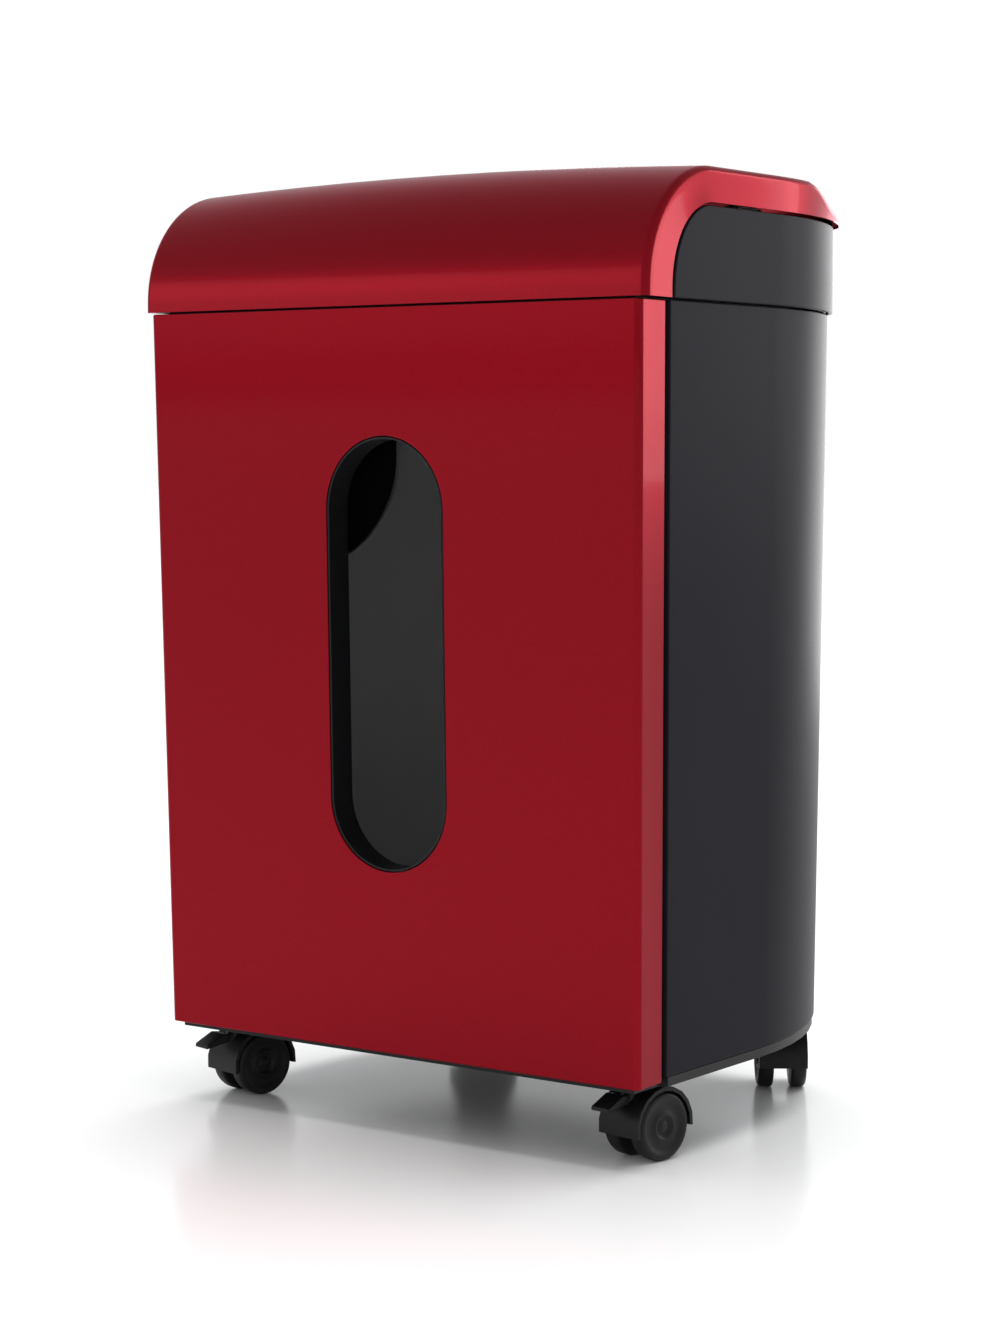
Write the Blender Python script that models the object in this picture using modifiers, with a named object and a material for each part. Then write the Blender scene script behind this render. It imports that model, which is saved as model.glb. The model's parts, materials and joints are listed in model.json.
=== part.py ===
"""Cross-cut paper shredder with a pull-out bin, on four twin-wheel casters.

Metres, +Z up. The front faces -Y. The origin is on the floor, under the middle of the body.
Run with: blender --background --python part.py
"""

import math

import bmesh
import bpy
from mathutils import Matrix, Vector

MM = 0.001
GAP = 0.3 * MM

# Body: the plan outline is widest at the seam and tapers towards the floor.
BODY_BOTTOM = 49 * MM
BODY_TOP = 493.3 * MM
HALF_WIDTH_SEAM = 181.5 * MM
HALF_WIDTH_BOTTOM = 176.5 * MM
FRONT_SEAM = -142 * MM
FRONT_BOTTOM = -133 * MM
SIDE_END = 3 * MM
BACK_RADIUS = 235 * MM
BACK_TURN = math.radians(33)
CORNER_RADIUS = 36 * MM
REAR_Y = SIDE_END + (BACK_RADIUS - CORNER_RADIUS) * math.sin(BACK_TURN) + CORNER_RADIUS
SKIN = 2.5 * MM
FRONT_SKIN = 3 * MM

# Red side strips and the step behind them.
STRIP_DEPTH = 29 * MM
STRIP_SLOPE = 1.5 * MM
STRIP_GAP = 2.5 * MM

# Head: 3 mm wider than the body all round.
HEAD_OVERHANG = 3 * MM
HEAD_BOTTOM = 494.5 * MM
HEAD_SHELL_TOP = 547.8 * MM
REAR_SHELL_TOP = 556 * MM
COVER_TOP = 570 * MM
COVER_CROWN = 4.5 * MM
COVER_LIP = 549.5 * MM
COVER_EDGE = 1.5 * MM
COVER_REACH = 12 * MM
NOSE_RADIUS = 70 * MM
REAR_ROUND = 20 * MM

# Viewing window.
WINDOW_HALF_WIDTH = 43.5 * MM
WINDOW_LOW = 159 * MM
WINDOW_HIGH = 418 * MM
WINDOW_DEPTH = 19 * MM

# Bin.
TUB_INSET = 9 * MM
TUB_BOTTOM = 61 * MM
TUB_TOP = 452 * MM
TUB_WALL = 2.2 * MM
NOTCH_Y = 4 * MM
NOTCH_HEIGHT = 406 * MM
NOTCH_RADIUS = 73 * MM

# Base and casters.
BASE_LOW = 46 * MM
BASE_HIGH = 51.5 * MM
WHEEL_RADIUS = 20 * MM
WHEEL_WIDTH = 10 * MM
WHEEL_SPACING = 11 * MM
CASTER_TRAIL = 13 * MM
CASTERS = {
    "front_left": (-151 * MM, -102 * MM, math.radians(-14)),
    "front_right": (151 * MM, -102 * MM, math.radians(-10)),
    "back_left": (-126 * MM, 112 * MM, math.radians(-60)),
    "back_right": (126 * MM, 112 * MM, math.radians(36)),
}

# Cutting block.
SHAFT_SPACING = 38 * MM
SHAFT_HEIGHT = 527 * MM
THROAT_Y = -8 * MM
THROAT_HALF_LENGTH = 113 * MM
DISC_RADIUS = 21.5 * MM
DRUM_RADIUS = 15.5 * MM
SHAFT_RADIUS = 6 * MM
DISC_COUNT = 13
PLATE_X = 118 * MM
PLATE_THICKNESS = 3 * MM

# Gear train: module, teeth.
CUT_MODULE = 1.9 * MM
CUT_TEETH = 20
SMALL_TEETH = 14
MOTOR_MODULE = 1.75 * MM
BIG_TEETH = 32
MOTOR_TEETH = 8
TRAIN_ANGLE = math.radians(8)

# Controls on top, at the right of the throat.
CONTROL_X = 148 * MM
CONTROL_Y = -8 * MM


def start_scene():
    for obj in list(bpy.data.objects):
        bpy.data.objects.remove(obj)
    parts = bpy.data.collections.new("paper_shredder")
    cutters = bpy.data.collections.new("cutters")
    cutters.hide_render = True
    for collection in (parts, cutters):
        bpy.context.scene.collection.children.link(collection)
    return parts, cutters


PARTS, CUTTERS = start_scene()


def material(name, colour, roughness, metallic=0.0):
    made = bpy.data.materials.get(name) or bpy.data.materials.new(name)
    made.use_nodes = True
    shader = made.node_tree.nodes["Principled BSDF"]
    shader.inputs["Base Color"].default_value = (*colour, 1)
    shader.inputs["Roughness"].default_value = roughness
    shader.inputs["Metallic"].default_value = metallic
    return made


RED = ("red", (0.35, 0.006, 0.012), 0.25, 0.3)
CHARCOAL = ("charcoal", (0.045, 0.045, 0.055), 0.45, 0.0)
BLACK = ("black", (0.012, 0.012, 0.013), 0.5, 0.0)
GREY = ("grey", (0.22, 0.22, 0.225), 0.5, 0.0)
SMOKE = ("smoke", (0.05, 0.055, 0.06), 0.1, 0.0)
STEEL = ("steel", (0.45, 0.46, 0.48), 0.35, 1.0)
NYLON = ("nylon", (0.75, 0.73, 0.68), 0.5, 0.0)
GREEN = ("board", (0.02, 0.16, 0.06), 0.5, 0.0)
LIGHT = ("light", (0.1, 0.6, 0.2), 0.2, 0.0)
TREAD = ("tread", (0.02, 0.02, 0.022), 0.6, 0.0)


def add_part(name, mesh, look):
    """A visible piece of the shredder, with its own material."""
    obj = bpy.data.objects.new(name, mesh)
    PARTS.objects.link(obj)
    obj.data.materials.clear()
    obj.data.materials.append(material(name + "_" + look[0], *look[1:]))
    return obj


def add_cutter(name, mesh):
    """A shape that only cuts or joins others."""
    obj = bpy.data.objects.new(name, mesh)
    CUTTERS.objects.link(obj)
    obj.hide_render = True
    obj.display_type = "WIRE"
    return obj


def boolean(obj, other, operation="DIFFERENCE"):
    modifier = obj.modifiers.new(operation.lower() + "_" + other.name, "BOOLEAN")
    modifier.operation = operation
    modifier.solver = "EXACT"
    modifier.object = other
    return obj


def mesh_from(bm, name, matrix=None):
    if matrix is not None:
        bmesh.ops.transform(bm, matrix=matrix, verts=bm.verts)
    mesh = bpy.data.meshes.new(name)
    bm.to_mesh(mesh)
    bm.free()
    return mesh


def box_mesh(name, low, high):
    low, high = Vector(low), Vector(high)
    bm = bmesh.new()
    bmesh.ops.create_cube(bm, size=1)
    size = Matrix.Diagonal((*(high - low), 1))
    return mesh_from(bm, name, Matrix.Translation((low + high) / 2) @ size)


AXES = {
    "X": Matrix.Rotation(math.radians(90), 4, "Y"),
    "Y": Matrix.Rotation(math.radians(-90), 4, "X"),
    "Z": Matrix.Identity(4),
}


def cylinder_mesh(name, centre, radius, length, axis="Z", segments=24, radius_end=None):
    """A cylinder or cone centred on a point."""
    bm = bmesh.new()
    bmesh.ops.create_cone(
        bm,
        cap_ends=True,
        segments=segments,
        radius1=radius,
        radius2=radius if radius_end is None else radius_end,
        depth=length,
    )
    return mesh_from(bm, name, Matrix.Translation(Vector(centre)) @ AXES[axis])


def outline_mesh(name, points, depth, matrix=None):
    """A flat outline, extruded by half its depth each way, as a closed mesh."""
    curve = bpy.data.curves.new(name, "CURVE")
    curve.dimensions = "2D"
    curve.fill_mode = "BOTH"
    curve.extrude = depth / 2
    spline = curve.splines.new("POLY")
    spline.points.add(len(points) - 1)
    for point, (x, y) in zip(spline.points, points):
        point.co = (x, y, 0, 1)
    spline.use_cyclic_u = True
    guide = bpy.data.objects.new(name + "_outline", curve)
    CUTTERS.objects.link(guide)
    graph = bpy.context.evaluated_depsgraph_get()
    graph.update()
    mesh = bpy.data.meshes.new_from_object(guide.evaluated_get(graph))
    bpy.data.objects.remove(guide)
    bm = bmesh.new()
    bm.from_mesh(mesh)
    bpy.data.meshes.remove(mesh)
    bmesh.ops.remove_doubles(bm, verts=bm.verts, dist=1e-6)
    bmesh.ops.recalc_face_normals(bm, faces=bm.faces)
    return mesh_from(bm, name, matrix)


def across_x(x):
    """Takes an outline drawn in (y, z) to the plane at x."""
    return Matrix(((0, 0, 1, x), (1, 0, 0, 0), (0, 1, 0, 0), (0, 0, 0, 1)))


def facing_front(y):
    """Takes an outline drawn in (x, z) to the plane at y."""
    return Matrix(((1, 0, 0, 0), (0, 0, -1, y), (0, 1, 0, 0), (0, 0, 0, 1)))


def lathe(name, profile, look, place, steps=16):
    """A turned piece: profile is (radius, height) from the top down the outer side."""
    bm = bmesh.new()
    rows = [bm.verts.new((radius, 0, height)) for radius, height in profile]
    for upper, lower in zip(rows, rows[1:]):
        bm.edges.new((upper, lower))
    obj = add_part(name, mesh_from(bm, name), look)
    obj.matrix_world = place
    screw = obj.modifiers.new("turn", "SCREW")
    screw.axis = "Z"
    screw.steps = steps
    screw.render_steps = steps
    screw.use_merge_vertices = True
    screw.merge_threshold = 1e-5
    screw.use_smooth_shade = True
    return obj


def arc(centre_x, centre_y, radius, start, end, count):
    """Points on an arc, angles in degrees."""
    angles = [math.radians(start + (end - start) * i / count) for i in range(count + 1)]
    return [(centre_x + radius * math.cos(a), centre_y + radius * math.sin(a)) for a in angles]


def half_outline(inset=0.0, coarse=6):
    """Right half of the plan outline at the seam, from the side's end to the back's middle."""
    half = HALF_WIDTH_SEAM - inset
    radius = BACK_RADIUS - inset
    corner = CORNER_RADIUS - inset
    turn = math.degrees(BACK_TURN)
    side = arc(half - radius, SIDE_END, radius, 0, turn, coarse)
    end_x, end_y = side[-1]
    corner_x = end_x - corner * math.cos(BACK_TURN)
    corner_y = end_y - corner * math.sin(BACK_TURN)
    return side + arc(corner_x, corner_y, corner, turn, 90, 4)[1:]


def full_outline(inset, front_y, front_half=None, coarse=6):
    """An open plan path from the left front edge round the back to the right front edge."""
    right = half_outline(inset, coarse)
    left = [(-x, y) for x, y in right[:-1]]
    front_x = HALF_WIDTH_SEAM - inset if front_half is None else front_half
    return [(-front_x, front_y)] + left + right[::-1] + [(front_x, front_y)]


def both_sides(half):
    """A closed outline from its right half, which starts on the middle of the back."""
    return half[1:] + [(-x, y) for x, y in half[:0:-1]]


def taper(point):
    """Takes a point drawn at the seam to the body's narrower plan at its own height."""
    down = (BODY_TOP - point.z) / (BODY_TOP - BODY_BOTTOM)
    narrow = 1 - down * (1 - HALF_WIDTH_BOTTOM / HALF_WIDTH_SEAM)
    lean = 1 - down * (1 - (FRONT_BOTTOM - SIDE_END) / (FRONT_SEAM - SIDE_END))
    y_scale = lean if point.y < SIDE_END else narrow
    return Vector((point.x * narrow, SIDE_END + (point.y - SIDE_END) * y_scale, point.z))


def wall(name, path, levels, thickness, look, closed=False, floor=False, shape=None):
    """A sheet wall that stands on a plan path, given its thickness on the inner side."""
    bm = bmesh.new()
    ring = [bm.verts.new((x, y, levels[0])) for x, y in path]
    pairs = list(zip(ring, ring[1:])) + ([(ring[-1], ring[0])] if closed else [])
    edges = [bm.edges.new(pair) for pair in pairs]
    if floor:
        bm.faces.new(ring)
    for low, high in zip(levels, levels[1:]):
        made = bmesh.ops.extrude_edge_only(bm, edges=edges)["geom"]
        bmesh.ops.translate(
            bm, vec=(0, 0, high - low), verts=[g for g in made if isinstance(g, bmesh.types.BMVert)]
        )
        edges = [g for g in made if isinstance(g, bmesh.types.BMEdge)]
        edges = [e for e in edges if abs(e.verts[0].co.z - e.verts[1].co.z) < 1e-9]
    bmesh.ops.recalc_face_normals(bm, faces=bm.faces)
    if shape:
        for vert in bm.verts:
            vert.co = shape(vert.co)
    obj = add_part(name, mesh_from(bm, name), look)
    solidify = obj.modifiers.new("thickness", "SOLIDIFY")
    solidify.thickness = thickness
    solidify.offset = -1
    solidify.use_even_offset = True
    return obj


def front_y(z):
    """Where the leaning front face is at a height."""
    return taper(Vector((0, FRONT_SEAM, z))).y


def stadium(half_width, low, high, count=10):
    """A vertical slot outline with round ends, in (x, z)."""
    top = arc(0, high - half_width, half_width, 0, 180, count)
    bottom = arc(0, low + half_width, half_width, 180, 360, count)
    return top + bottom


def lean(mesh, reach):
    """Shears a mesh drawn from y = 0 so that it follows the front face, reach behind it."""
    for vert in mesh.vertices:
        vert.co.y += front_y(vert.co.z) + reach
    return mesh


def window_mesh(name, half_width, margin, near, far):
    """A stadium prism along the leaning front, from near to far behind the face."""
    points = stadium(half_width, WINDOW_LOW + margin, WINDOW_HIGH - margin)
    mesh = outline_mesh(name, points, far - near, facing_front(0))
    return lean(mesh, (near + far) / 2)


# ---------------------------------------------------------------- cabinet and bin


def cabinet():
    front = FRONT_SEAM + STRIP_DEPTH + STRIP_GAP
    jamb = HALF_WIDTH_SEAM - 8 * MM
    path = [(-jamb, front + 0.5 * MM), *full_outline(0, front), (jamb, front + 0.5 * MM)]
    wall("cabinet_shell", path, [BASE_HIGH + 0.5 * MM, BODY_TOP], SKIN, CHARCOAL, shape=taper)


def base():
    narrow = HALF_WIDTH_BOTTOM / HALF_WIDTH_SEAM
    behind = FRONT_BOTTOM + STRIP_DEPTH + STRIP_GAP + MM
    right = [(x * narrow, SIDE_END + (y - SIDE_END) * narrow) for x, y in half_outline(1 * MM)]
    inner = HALF_WIDTH_BOTTOM - STRIP_SLOPE - FRONT_SKIN - 1.5 * MM
    front = [(right[0][0], behind), (inner, behind - 0.5 * MM), (inner, FRONT_BOTTOM + 5 * MM)]
    points = both_sides(right[::-1] + front)
    middle = (BASE_LOW + BASE_HIGH) / 2
    mesh = outline_mesh("base_plate", points, BASE_HIGH - BASE_LOW, Matrix.Translation((0, 0, middle)))
    plate = add_part("base_plate", mesh, BLACK)
    for name, (x, y, _) in CASTERS.items():
        hole = cylinder_mesh("socket_" + name, (x, y, middle), 6.2 * MM, 20 * MM)
        boolean(plate, add_cutter("socket_" + name, hole))
    for side, sign in (("left", -1), ("right", 1)):
        low = (sign * 110 * MM - 6 * MM, -95 * MM, BASE_HIGH + GAP)
        high = (sign * 110 * MM + 6 * MM, 85 * MM, TUB_BOTTOM - GAP)
        add_part("bin_rail_" + side, box_mesh("rail", low, high), NYLON)


def bin_front():
    half = HALF_WIDTH_SEAM
    back = FRONT_SEAM + STRIP_DEPTH
    path = [(-half + STRIP_SLOPE, back), (-half, FRONT_SEAM), (half, FRONT_SEAM)]
    path.append((half - STRIP_SLOPE, back))
    panel = wall("bin_front", path, [BODY_BOTTOM, BODY_TOP], FRONT_SKIN, RED, shape=taper)
    hole = window_mesh("window_hole", WINDOW_HALF_WIDTH, 0, -10 * MM, 10 * MM)
    boolean(panel, add_cutter("window_hole", hole))


def bin_window():
    rim = WINDOW_HALF_WIDTH - GAP
    near, far = 0.4 * MM, WINDOW_DEPTH
    outer = window_mesh("window_bezel", rim, GAP, near, far)
    bezel = add_part("window_bezel", outer, BLACK)
    inner = window_mesh("window_bore", rim - 1.5 * MM, GAP + 1.5 * MM, -5 * MM, far + 5 * MM)
    boolean(bezel, add_cutter("window_bore", inner))
    margin = 2.1 * MM
    lens = window_mesh("window_lens", WINDOW_HALF_WIDTH - margin, margin, far - 3 * MM, far - 1 * MM)
    add_part("window_lens", lens, SMOKE)


def bin_tub():
    front = FRONT_SEAM + FRONT_SKIN + 1.2 * MM
    path = full_outline(TUB_INSET, front)
    tub = wall(
        "bin_tub",
        path,
        [TUB_BOTTOM, TUB_TOP],
        TUB_WALL,
        GREY,
        closed=True,
        floor=True,
        shape=taper,
    )
    hole = window_mesh("tub_hole", WINDOW_HALF_WIDTH + MM, -MM, -5 * MM, 20 * MM)
    boolean(tub, add_cutter("tub_hole", hole))
    # A round notch in each side wall, to lift the tub by.
    left, right = NOTCH_Y - NOTCH_RADIUS, NOTCH_Y + NOTCH_RADIUS
    notch = arc(NOTCH_Y, NOTCH_HEIGHT, NOTCH_RADIUS, 180, 360, 12)
    notch += [(right, TUB_TOP + 20 * MM), (left, TUB_TOP + 20 * MM)]
    mesh = outline_mesh("grip_notch", notch, 500 * MM, across_x(0))
    boolean(tub, add_cutter("grip_notch", mesh))


def interlock():
    x = 120 * MM
    face = front_y(480 * MM) + FRONT_SKIN + GAP
    magnet = box_mesh("bin_magnet", (x - 8 * MM, face, 474 * MM), (x + 8 * MM, face + 5 * MM, 486 * MM))
    add_part("bin_magnet", magnet, STEEL)
    low = (x - 10 * MM, face + 7 * MM, 476 * MM)
    high = (x + 10 * MM, face + 19 * MM, HEAD_BOTTOM - GAP)
    add_part("interlock_switch", box_mesh("interlock_switch", low, high), BLACK)


# ---------------------------------------------------------------- head


def head_deck():
    right = half_outline(1 * MM)
    half = right[::-1] + [(right[0][0], FRONT_SEAM + 34 * MM), (170 * MM, FRONT_SEAM + 33.5 * MM)]
    half.append((170 * MM, FRONT_SEAM + 4 * MM))
    points = both_sides(half)
    thick = 3.8 * MM
    place = Matrix.Translation((0, 0, HEAD_BOTTOM + thick / 2))
    deck = add_part("head_deck", outline_mesh("head_deck", points, thick, place), BLACK)
    low = (-THROAT_HALF_LENGTH, THROAT_Y - 30 * MM, 480 * MM)
    high = (THROAT_HALF_LENGTH, THROAT_Y + 30 * MM, 510 * MM)
    boolean(deck, add_cutter("exit_hole", box_mesh("exit_hole", low, high)))


def nose_profile(inset, top_inset, back, count=8):
    """Side view of the head in (y, z): up the front, round the nose and back along the top."""
    centre_y = FRONT_SEAM + NOSE_RADIUS
    centre_z = COVER_TOP - NOSE_RADIUS
    points = [(FRONT_SEAM + inset, HEAD_BOTTOM)]
    for i in range(count + 1):
        angle = math.radians(180 - 90 * i / count)
        y = centre_y + (NOSE_RADIUS - inset) * math.cos(angle)
        points.append((y, centre_z + (NOSE_RADIUS - top_inset) * math.sin(angle)))
    return points + [(back, COVER_TOP - top_inset)]


def rear_upstand(point):
    """Raises the shell's top edge at the back, where the cover hangs over it."""
    if point.z > HEAD_SHELL_TOP - GAP and point.y > REAR_Y - 17 * MM:
        return Vector((point.x, point.y, REAR_SHELL_TOP))
    return point


def head_shell():
    path = full_outline(-HEAD_OVERHANG, FRONT_SEAM + STRIP_DEPTH + STRIP_GAP)
    shell = wall(
        "head_shell", path, [HEAD_BOTTOM, HEAD_SHELL_TOP], SKIN, CHARCOAL, shape=rear_upstand
    )
    inset = STRIP_DEPTH + STRIP_GAP
    side = nose_profile(inset, COVER_TOP - HEAD_SHELL_TOP, 0)
    corner = [(0, 640 * MM), (-200 * MM, 640 * MM), (-200 * MM, 400 * MM)]
    cut = [(side[0][0], 400 * MM)] + side[1:] + corner
    mesh = outline_mesh("nose_cut", cut, 500 * MM, across_x(0))
    boolean(shell, add_cutter("nose_cut", mesh))
    return shell


def smooth(value, low, high):
    t = min(max((value - low) / (high - low), 0), 1)
    return t * t * (3 - 2 * t)


def cover_stretch():
    """How much longer the cover's rear part is than the shell's, so that it hangs over."""
    rear = REAR_Y + HEAD_OVERHANG + COVER_EDGE - SIDE_END
    return (rear + COVER_REACH) / rear


def cover_half_width(y):
    """Half width of the cover at a place along the depth."""
    reach = HEAD_OVERHANG + COVER_EDGE
    half = HALF_WIDTH_SEAM + reach
    if y <= SIDE_END:
        return half
    y = SIDE_END + (y - SIDE_END) / cover_stretch()
    radius = BACK_RADIUS + reach
    end = SIDE_END + radius * math.sin(BACK_TURN)
    if y <= end:
        return half - radius + math.sqrt(radius**2 - (y - SIDE_END) ** 2)
    corner = CORNER_RADIUS + reach
    corner_x = half - radius + (radius - corner) * math.cos(BACK_TURN)
    corner_y = SIDE_END + (radius - corner) * math.sin(BACK_TURN)
    return corner_x + math.sqrt(max(corner**2 - (y - corner_y) ** 2, 0))


def cover_back():
    """How far back the cover reaches."""
    return REAR_Y + HEAD_OVERHANG + COVER_EDGE + COVER_REACH


def drop(distance, radius):
    """How far a round edge falls below the flat, at a distance in from the rim."""
    if distance >= radius:
        return 0
    return radius - math.sqrt(radius**2 - (radius - distance) ** 2)


def cover_rows():
    """(y, z, strip inner y, strip inner z) for each row of the cover, from the front's foot back."""
    outer = nose_profile(0, 0, SIDE_END)
    inner = nose_profile(STRIP_DEPTH, COVER_TOP - COVER_LIP, SIDE_END)
    rows = [(*a, *b) for a, b in zip(outer, inner)]
    back = cover_back()
    depths = [40 * MM, 70 * MM, 95 * MM, 115 * MM, back - 22 * MM, back - 16 * MM]
    depths += [back - 10 * MM, back - 5.5 * MM, back - 2.5 * MM, back - 0.8 * MM, back - 0.02 * MM]
    rows += [(y, COVER_TOP, y, COVER_LIP) for y in depths]
    return rows


COVER_COLUMNS = [0, 2.5 * MM, 7 * MM, 13 * MM, 20 * MM]


def head_cover():
    bm = bmesh.new()
    grid = []
    back = cover_back()
    for y, z, strip_y, strip_z in cover_rows():
        half = cover_half_width(y)
        behind = smooth(y, 40 * MM, 95 * MM)
        across = [half - inset for inset in COVER_COLUMNS] + [half * 0.55, half * 0.2]
        across = [-x for x in across] + across[::-1]
        row = []
        for x in across:
            crown = COVER_CROWN * (1 - (x / half) ** 2) * smooth(z, 520 * MM, COVER_TOP)
            crown *= 1 - smooth(y, 60 * MM, back)
            fall = behind * drop(half - abs(x), REAR_ROUND)
            fall = max(fall, drop(back - y, REAR_ROUND)) if y > 0 else 0
            height = z + crown - fall
            if y > SIDE_END:
                height = max(height, COVER_LIP + 1.7 * MM)
            row.append(bm.verts.new((x, y, height)))
        slope = STRIP_SLOPE * (1 - smooth(y, FRONT_SEAM, FRONT_SEAM + NOSE_RADIUS)) + 0.3 * MM
        foot = half - slope
        row.insert(0, bm.verts.new((-foot, strip_y, strip_z)))
        row.append(bm.verts.new((foot, strip_y, strip_z)))
        grid.append(row)
    for near, far in zip(grid, grid[1:]):
        for i in range(len(near) - 1):
            bm.faces.new((near[i], near[i + 1], far[i + 1], far[i]))
    bmesh.ops.recalc_face_normals(bm, faces=bm.faces)
    cover = add_part("head_cover", mesh_from(bm, "head_cover"), RED)
    solidify = cover.modifiers.new("thickness", "SOLIDIFY")
    solidify.thickness = SKIN
    solidify.offset = -1
    solidify.use_even_offset = False
    for name, low, high in (
        ("throat_hole", THROAT_BOX[0], THROAT_BOX[1]),
        ("panel_hole", PANEL_BOX[0], PANEL_BOX[1]),
    ):
        size = Vector((0.6 * MM, 0.6 * MM, 30 * MM))
        mesh = box_mesh(name, Vector(low) - size, Vector(high) + size)
        boolean(cover, add_cutter(name, mesh))


THROAT_BOX = (
    (-THROAT_HALF_LENGTH - 9 * MM, THROAT_Y - 14 * MM, 552 * MM),
    (THROAT_HALF_LENGTH + 9 * MM, THROAT_Y + 14 * MM, 571.5 * MM),
)
PANEL_BOX = (
    (CONTROL_X - 17 * MM, CONTROL_Y - 50 * MM, 561 * MM),
    (CONTROL_X + 17 * MM, CONTROL_Y + 50 * MM, 570.2 * MM),
)


def throat():
    low, high = Vector(THROAT_BOX[0]), Vector(THROAT_BOX[1])
    frame = add_part("paper_throat", box_mesh("paper_throat", low, high), BLACK)
    slot_low = (-THROAT_HALF_LENGTH, THROAT_Y - 3.5 * MM, 540 * MM)
    slot_high = (THROAT_HALF_LENGTH, THROAT_Y + 3.5 * MM, 580 * MM)
    boolean(frame, add_cutter("paper_slot", box_mesh("paper_slot", slot_low, slot_high)))


BUTTONS = (
    ("power_button", -32 * MM, 9 * MM),
    ("forward_button", -6 * MM, 7 * MM),
    ("reverse_button", 13 * MM, 7 * MM),
)


def controls():
    low, high = PANEL_BOX
    panel = add_part("control_panel", box_mesh("control_panel", low, high), BLACK)
    top = high[2]
    middle = top - 4 * MM
    for name, y, radius in BUTTONS:
        place = (CONTROL_X, CONTROL_Y + y)
        well = cylinder_mesh(name + "_well", (*place, middle + 5 * MM), radius + 0.4 * MM, 13 * MM)
        boolean(panel, add_cutter(name + "_well", well))
        cap = cylinder_mesh(name, (0, 0, -1.5 * MM), radius, 5 * MM)
        button = add_part(name, cap, STEEL)
        button.location = (*place, top + 1 * MM)
    lens_low = (CONTROL_X - 9 * MM, CONTROL_Y + 28 * MM, top - 3 * MM)
    lens_high = (CONTROL_X + 9 * MM, CONTROL_Y + 34 * MM, top + 0.4 * MM)
    grow = Vector((GAP, GAP, GAP))
    pocket = box_mesh("led_pocket", Vector(lens_low) - grow, Vector(lens_high) + grow * 8)
    boolean(panel, add_cutter("led_pocket", pocket))
    add_part("led_lens", box_mesh("led_lens", lens_low, lens_high), LIGHT)


# ---------------------------------------------------------------- rear fittings

GLAND_PROUD = 5.6 * MM


def rear_fittings(shell):
    outside = REAR_Y + HEAD_OVERHANG
    inside = outside - SKIN
    size = Vector((GAP, 5 * MM, GAP))

    def fit(name, x, z, half_x, half_z, proud, depth, look):
        low = Vector((x - half_x, inside - depth, z - half_z))
        high = Vector((x + half_x, outside + proud, z + half_z))
        boolean(shell, add_cutter(name + "_hole", box_mesh(name + "_hole", low - size, high + size)))
        return add_part(name, box_mesh(name, low, high), look)

    height = 521 * MM
    grille = fit("rear_grille", 0, height, 55 * MM, 17 * MM, 0, 1 * MM, BLACK)
    for i in range(5):
        z = height + (i - 2) * 6.4 * MM
        low = (-50 * MM, inside - 10 * MM, z - 1.6 * MM)
        high = (50 * MM, outside + 10 * MM, z + 1.6 * MM)
        boolean(grille, add_cutter("grille_slit_%d" % i, box_mesh("slit", low, high)))
    bezel = fit("switch_bezel", 88 * MM, height, 11 * MM, 15 * MM, 1.5 * MM, 9 * MM, BLACK)
    low = (88 * MM - 7.4 * MM, inside - 4 * MM, height - 11.4 * MM)
    high = (88 * MM + 7.4 * MM, outside + 5 * MM, height + 11.4 * MM)
    boolean(bezel, add_cutter("rocker_well", box_mesh("rocker_well", low, high)))
    shape = [(-1.6, -9.6), (2.2, -10.2), (0.6, 0), (3.6, 9.8), (-0.4, 9.6)]
    shape = [(y * MM, z * MM) for y, z in shape]
    rocker = add_part("rocker_switch", outline_mesh("rocker", shape, 13.6 * MM, across_x(0)), BLACK)
    rocker.location = (88 * MM, inside + 0.4 * MM, height)
    gland_middle = outside + GLAND_PROUD - 6 * MM
    gland = cylinder_mesh("cord_gland", (-88 * MM, gland_middle, height), 7 * MM, 12 * MM, "Y", 20)
    hole = cylinder_mesh("gland_hole", (-88 * MM, outside, height), 7.4 * MM, 40 * MM, "Y", 20)
    boolean(shell, add_cutter("gland_hole", hole))
    made = add_part("cord_gland", gland, BLACK)
    bore = cylinder_mesh("gland_bore", (-88 * MM, outside, height), 3.4 * MM, 60 * MM, "Y", 16)
    boolean(made, add_cutter("gland_bore", bore))


# ---------------------------------------------------------------- cutting block

CUTTER_REAR = (THROAT_Y + SHAFT_SPACING / 2, SHAFT_HEIGHT)
CUTTER_FRONT = (THROAT_Y - SHAFT_SPACING / 2, SHAFT_HEIGHT)
SMALL_REACH = CUT_MODULE * (CUT_TEETH + SMALL_TEETH) / 2
IDLER = (
    CUTTER_REAR[0] + SMALL_REACH * math.cos(TRAIN_ANGLE),
    CUTTER_REAR[1] + SMALL_REACH * math.sin(TRAIN_ANGLE),
)
MOTOR = (IDLER[0] + MOTOR_MODULE * (BIG_TEETH + MOTOR_TEETH) / 2, IDLER[1])
GEAR_LOW, GEAR_HIGH = 122 * MM, 129.5 * MM
OUTER_LOW, OUTER_HIGH = 131 * MM, 138 * MM


def gear_points(module, teeth, phase):
    """Outline of a spur gear with slim straight-sided teeth; phase turns one tooth to an angle."""
    pitch = 2 * math.pi / teeth
    tip = module * teeth / 2 + module * 0.85
    root = module * teeth / 2 - module * 1.2
    corners = ((-0.30, root), (-0.10, tip), (0.10, tip), (0.30, root))
    points = []
    for i in range(teeth):
        for share, radius in corners:
            angle = phase + (i + share) * pitch
            points.append((radius * math.cos(angle), radius * math.sin(angle)))
    return points


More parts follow.
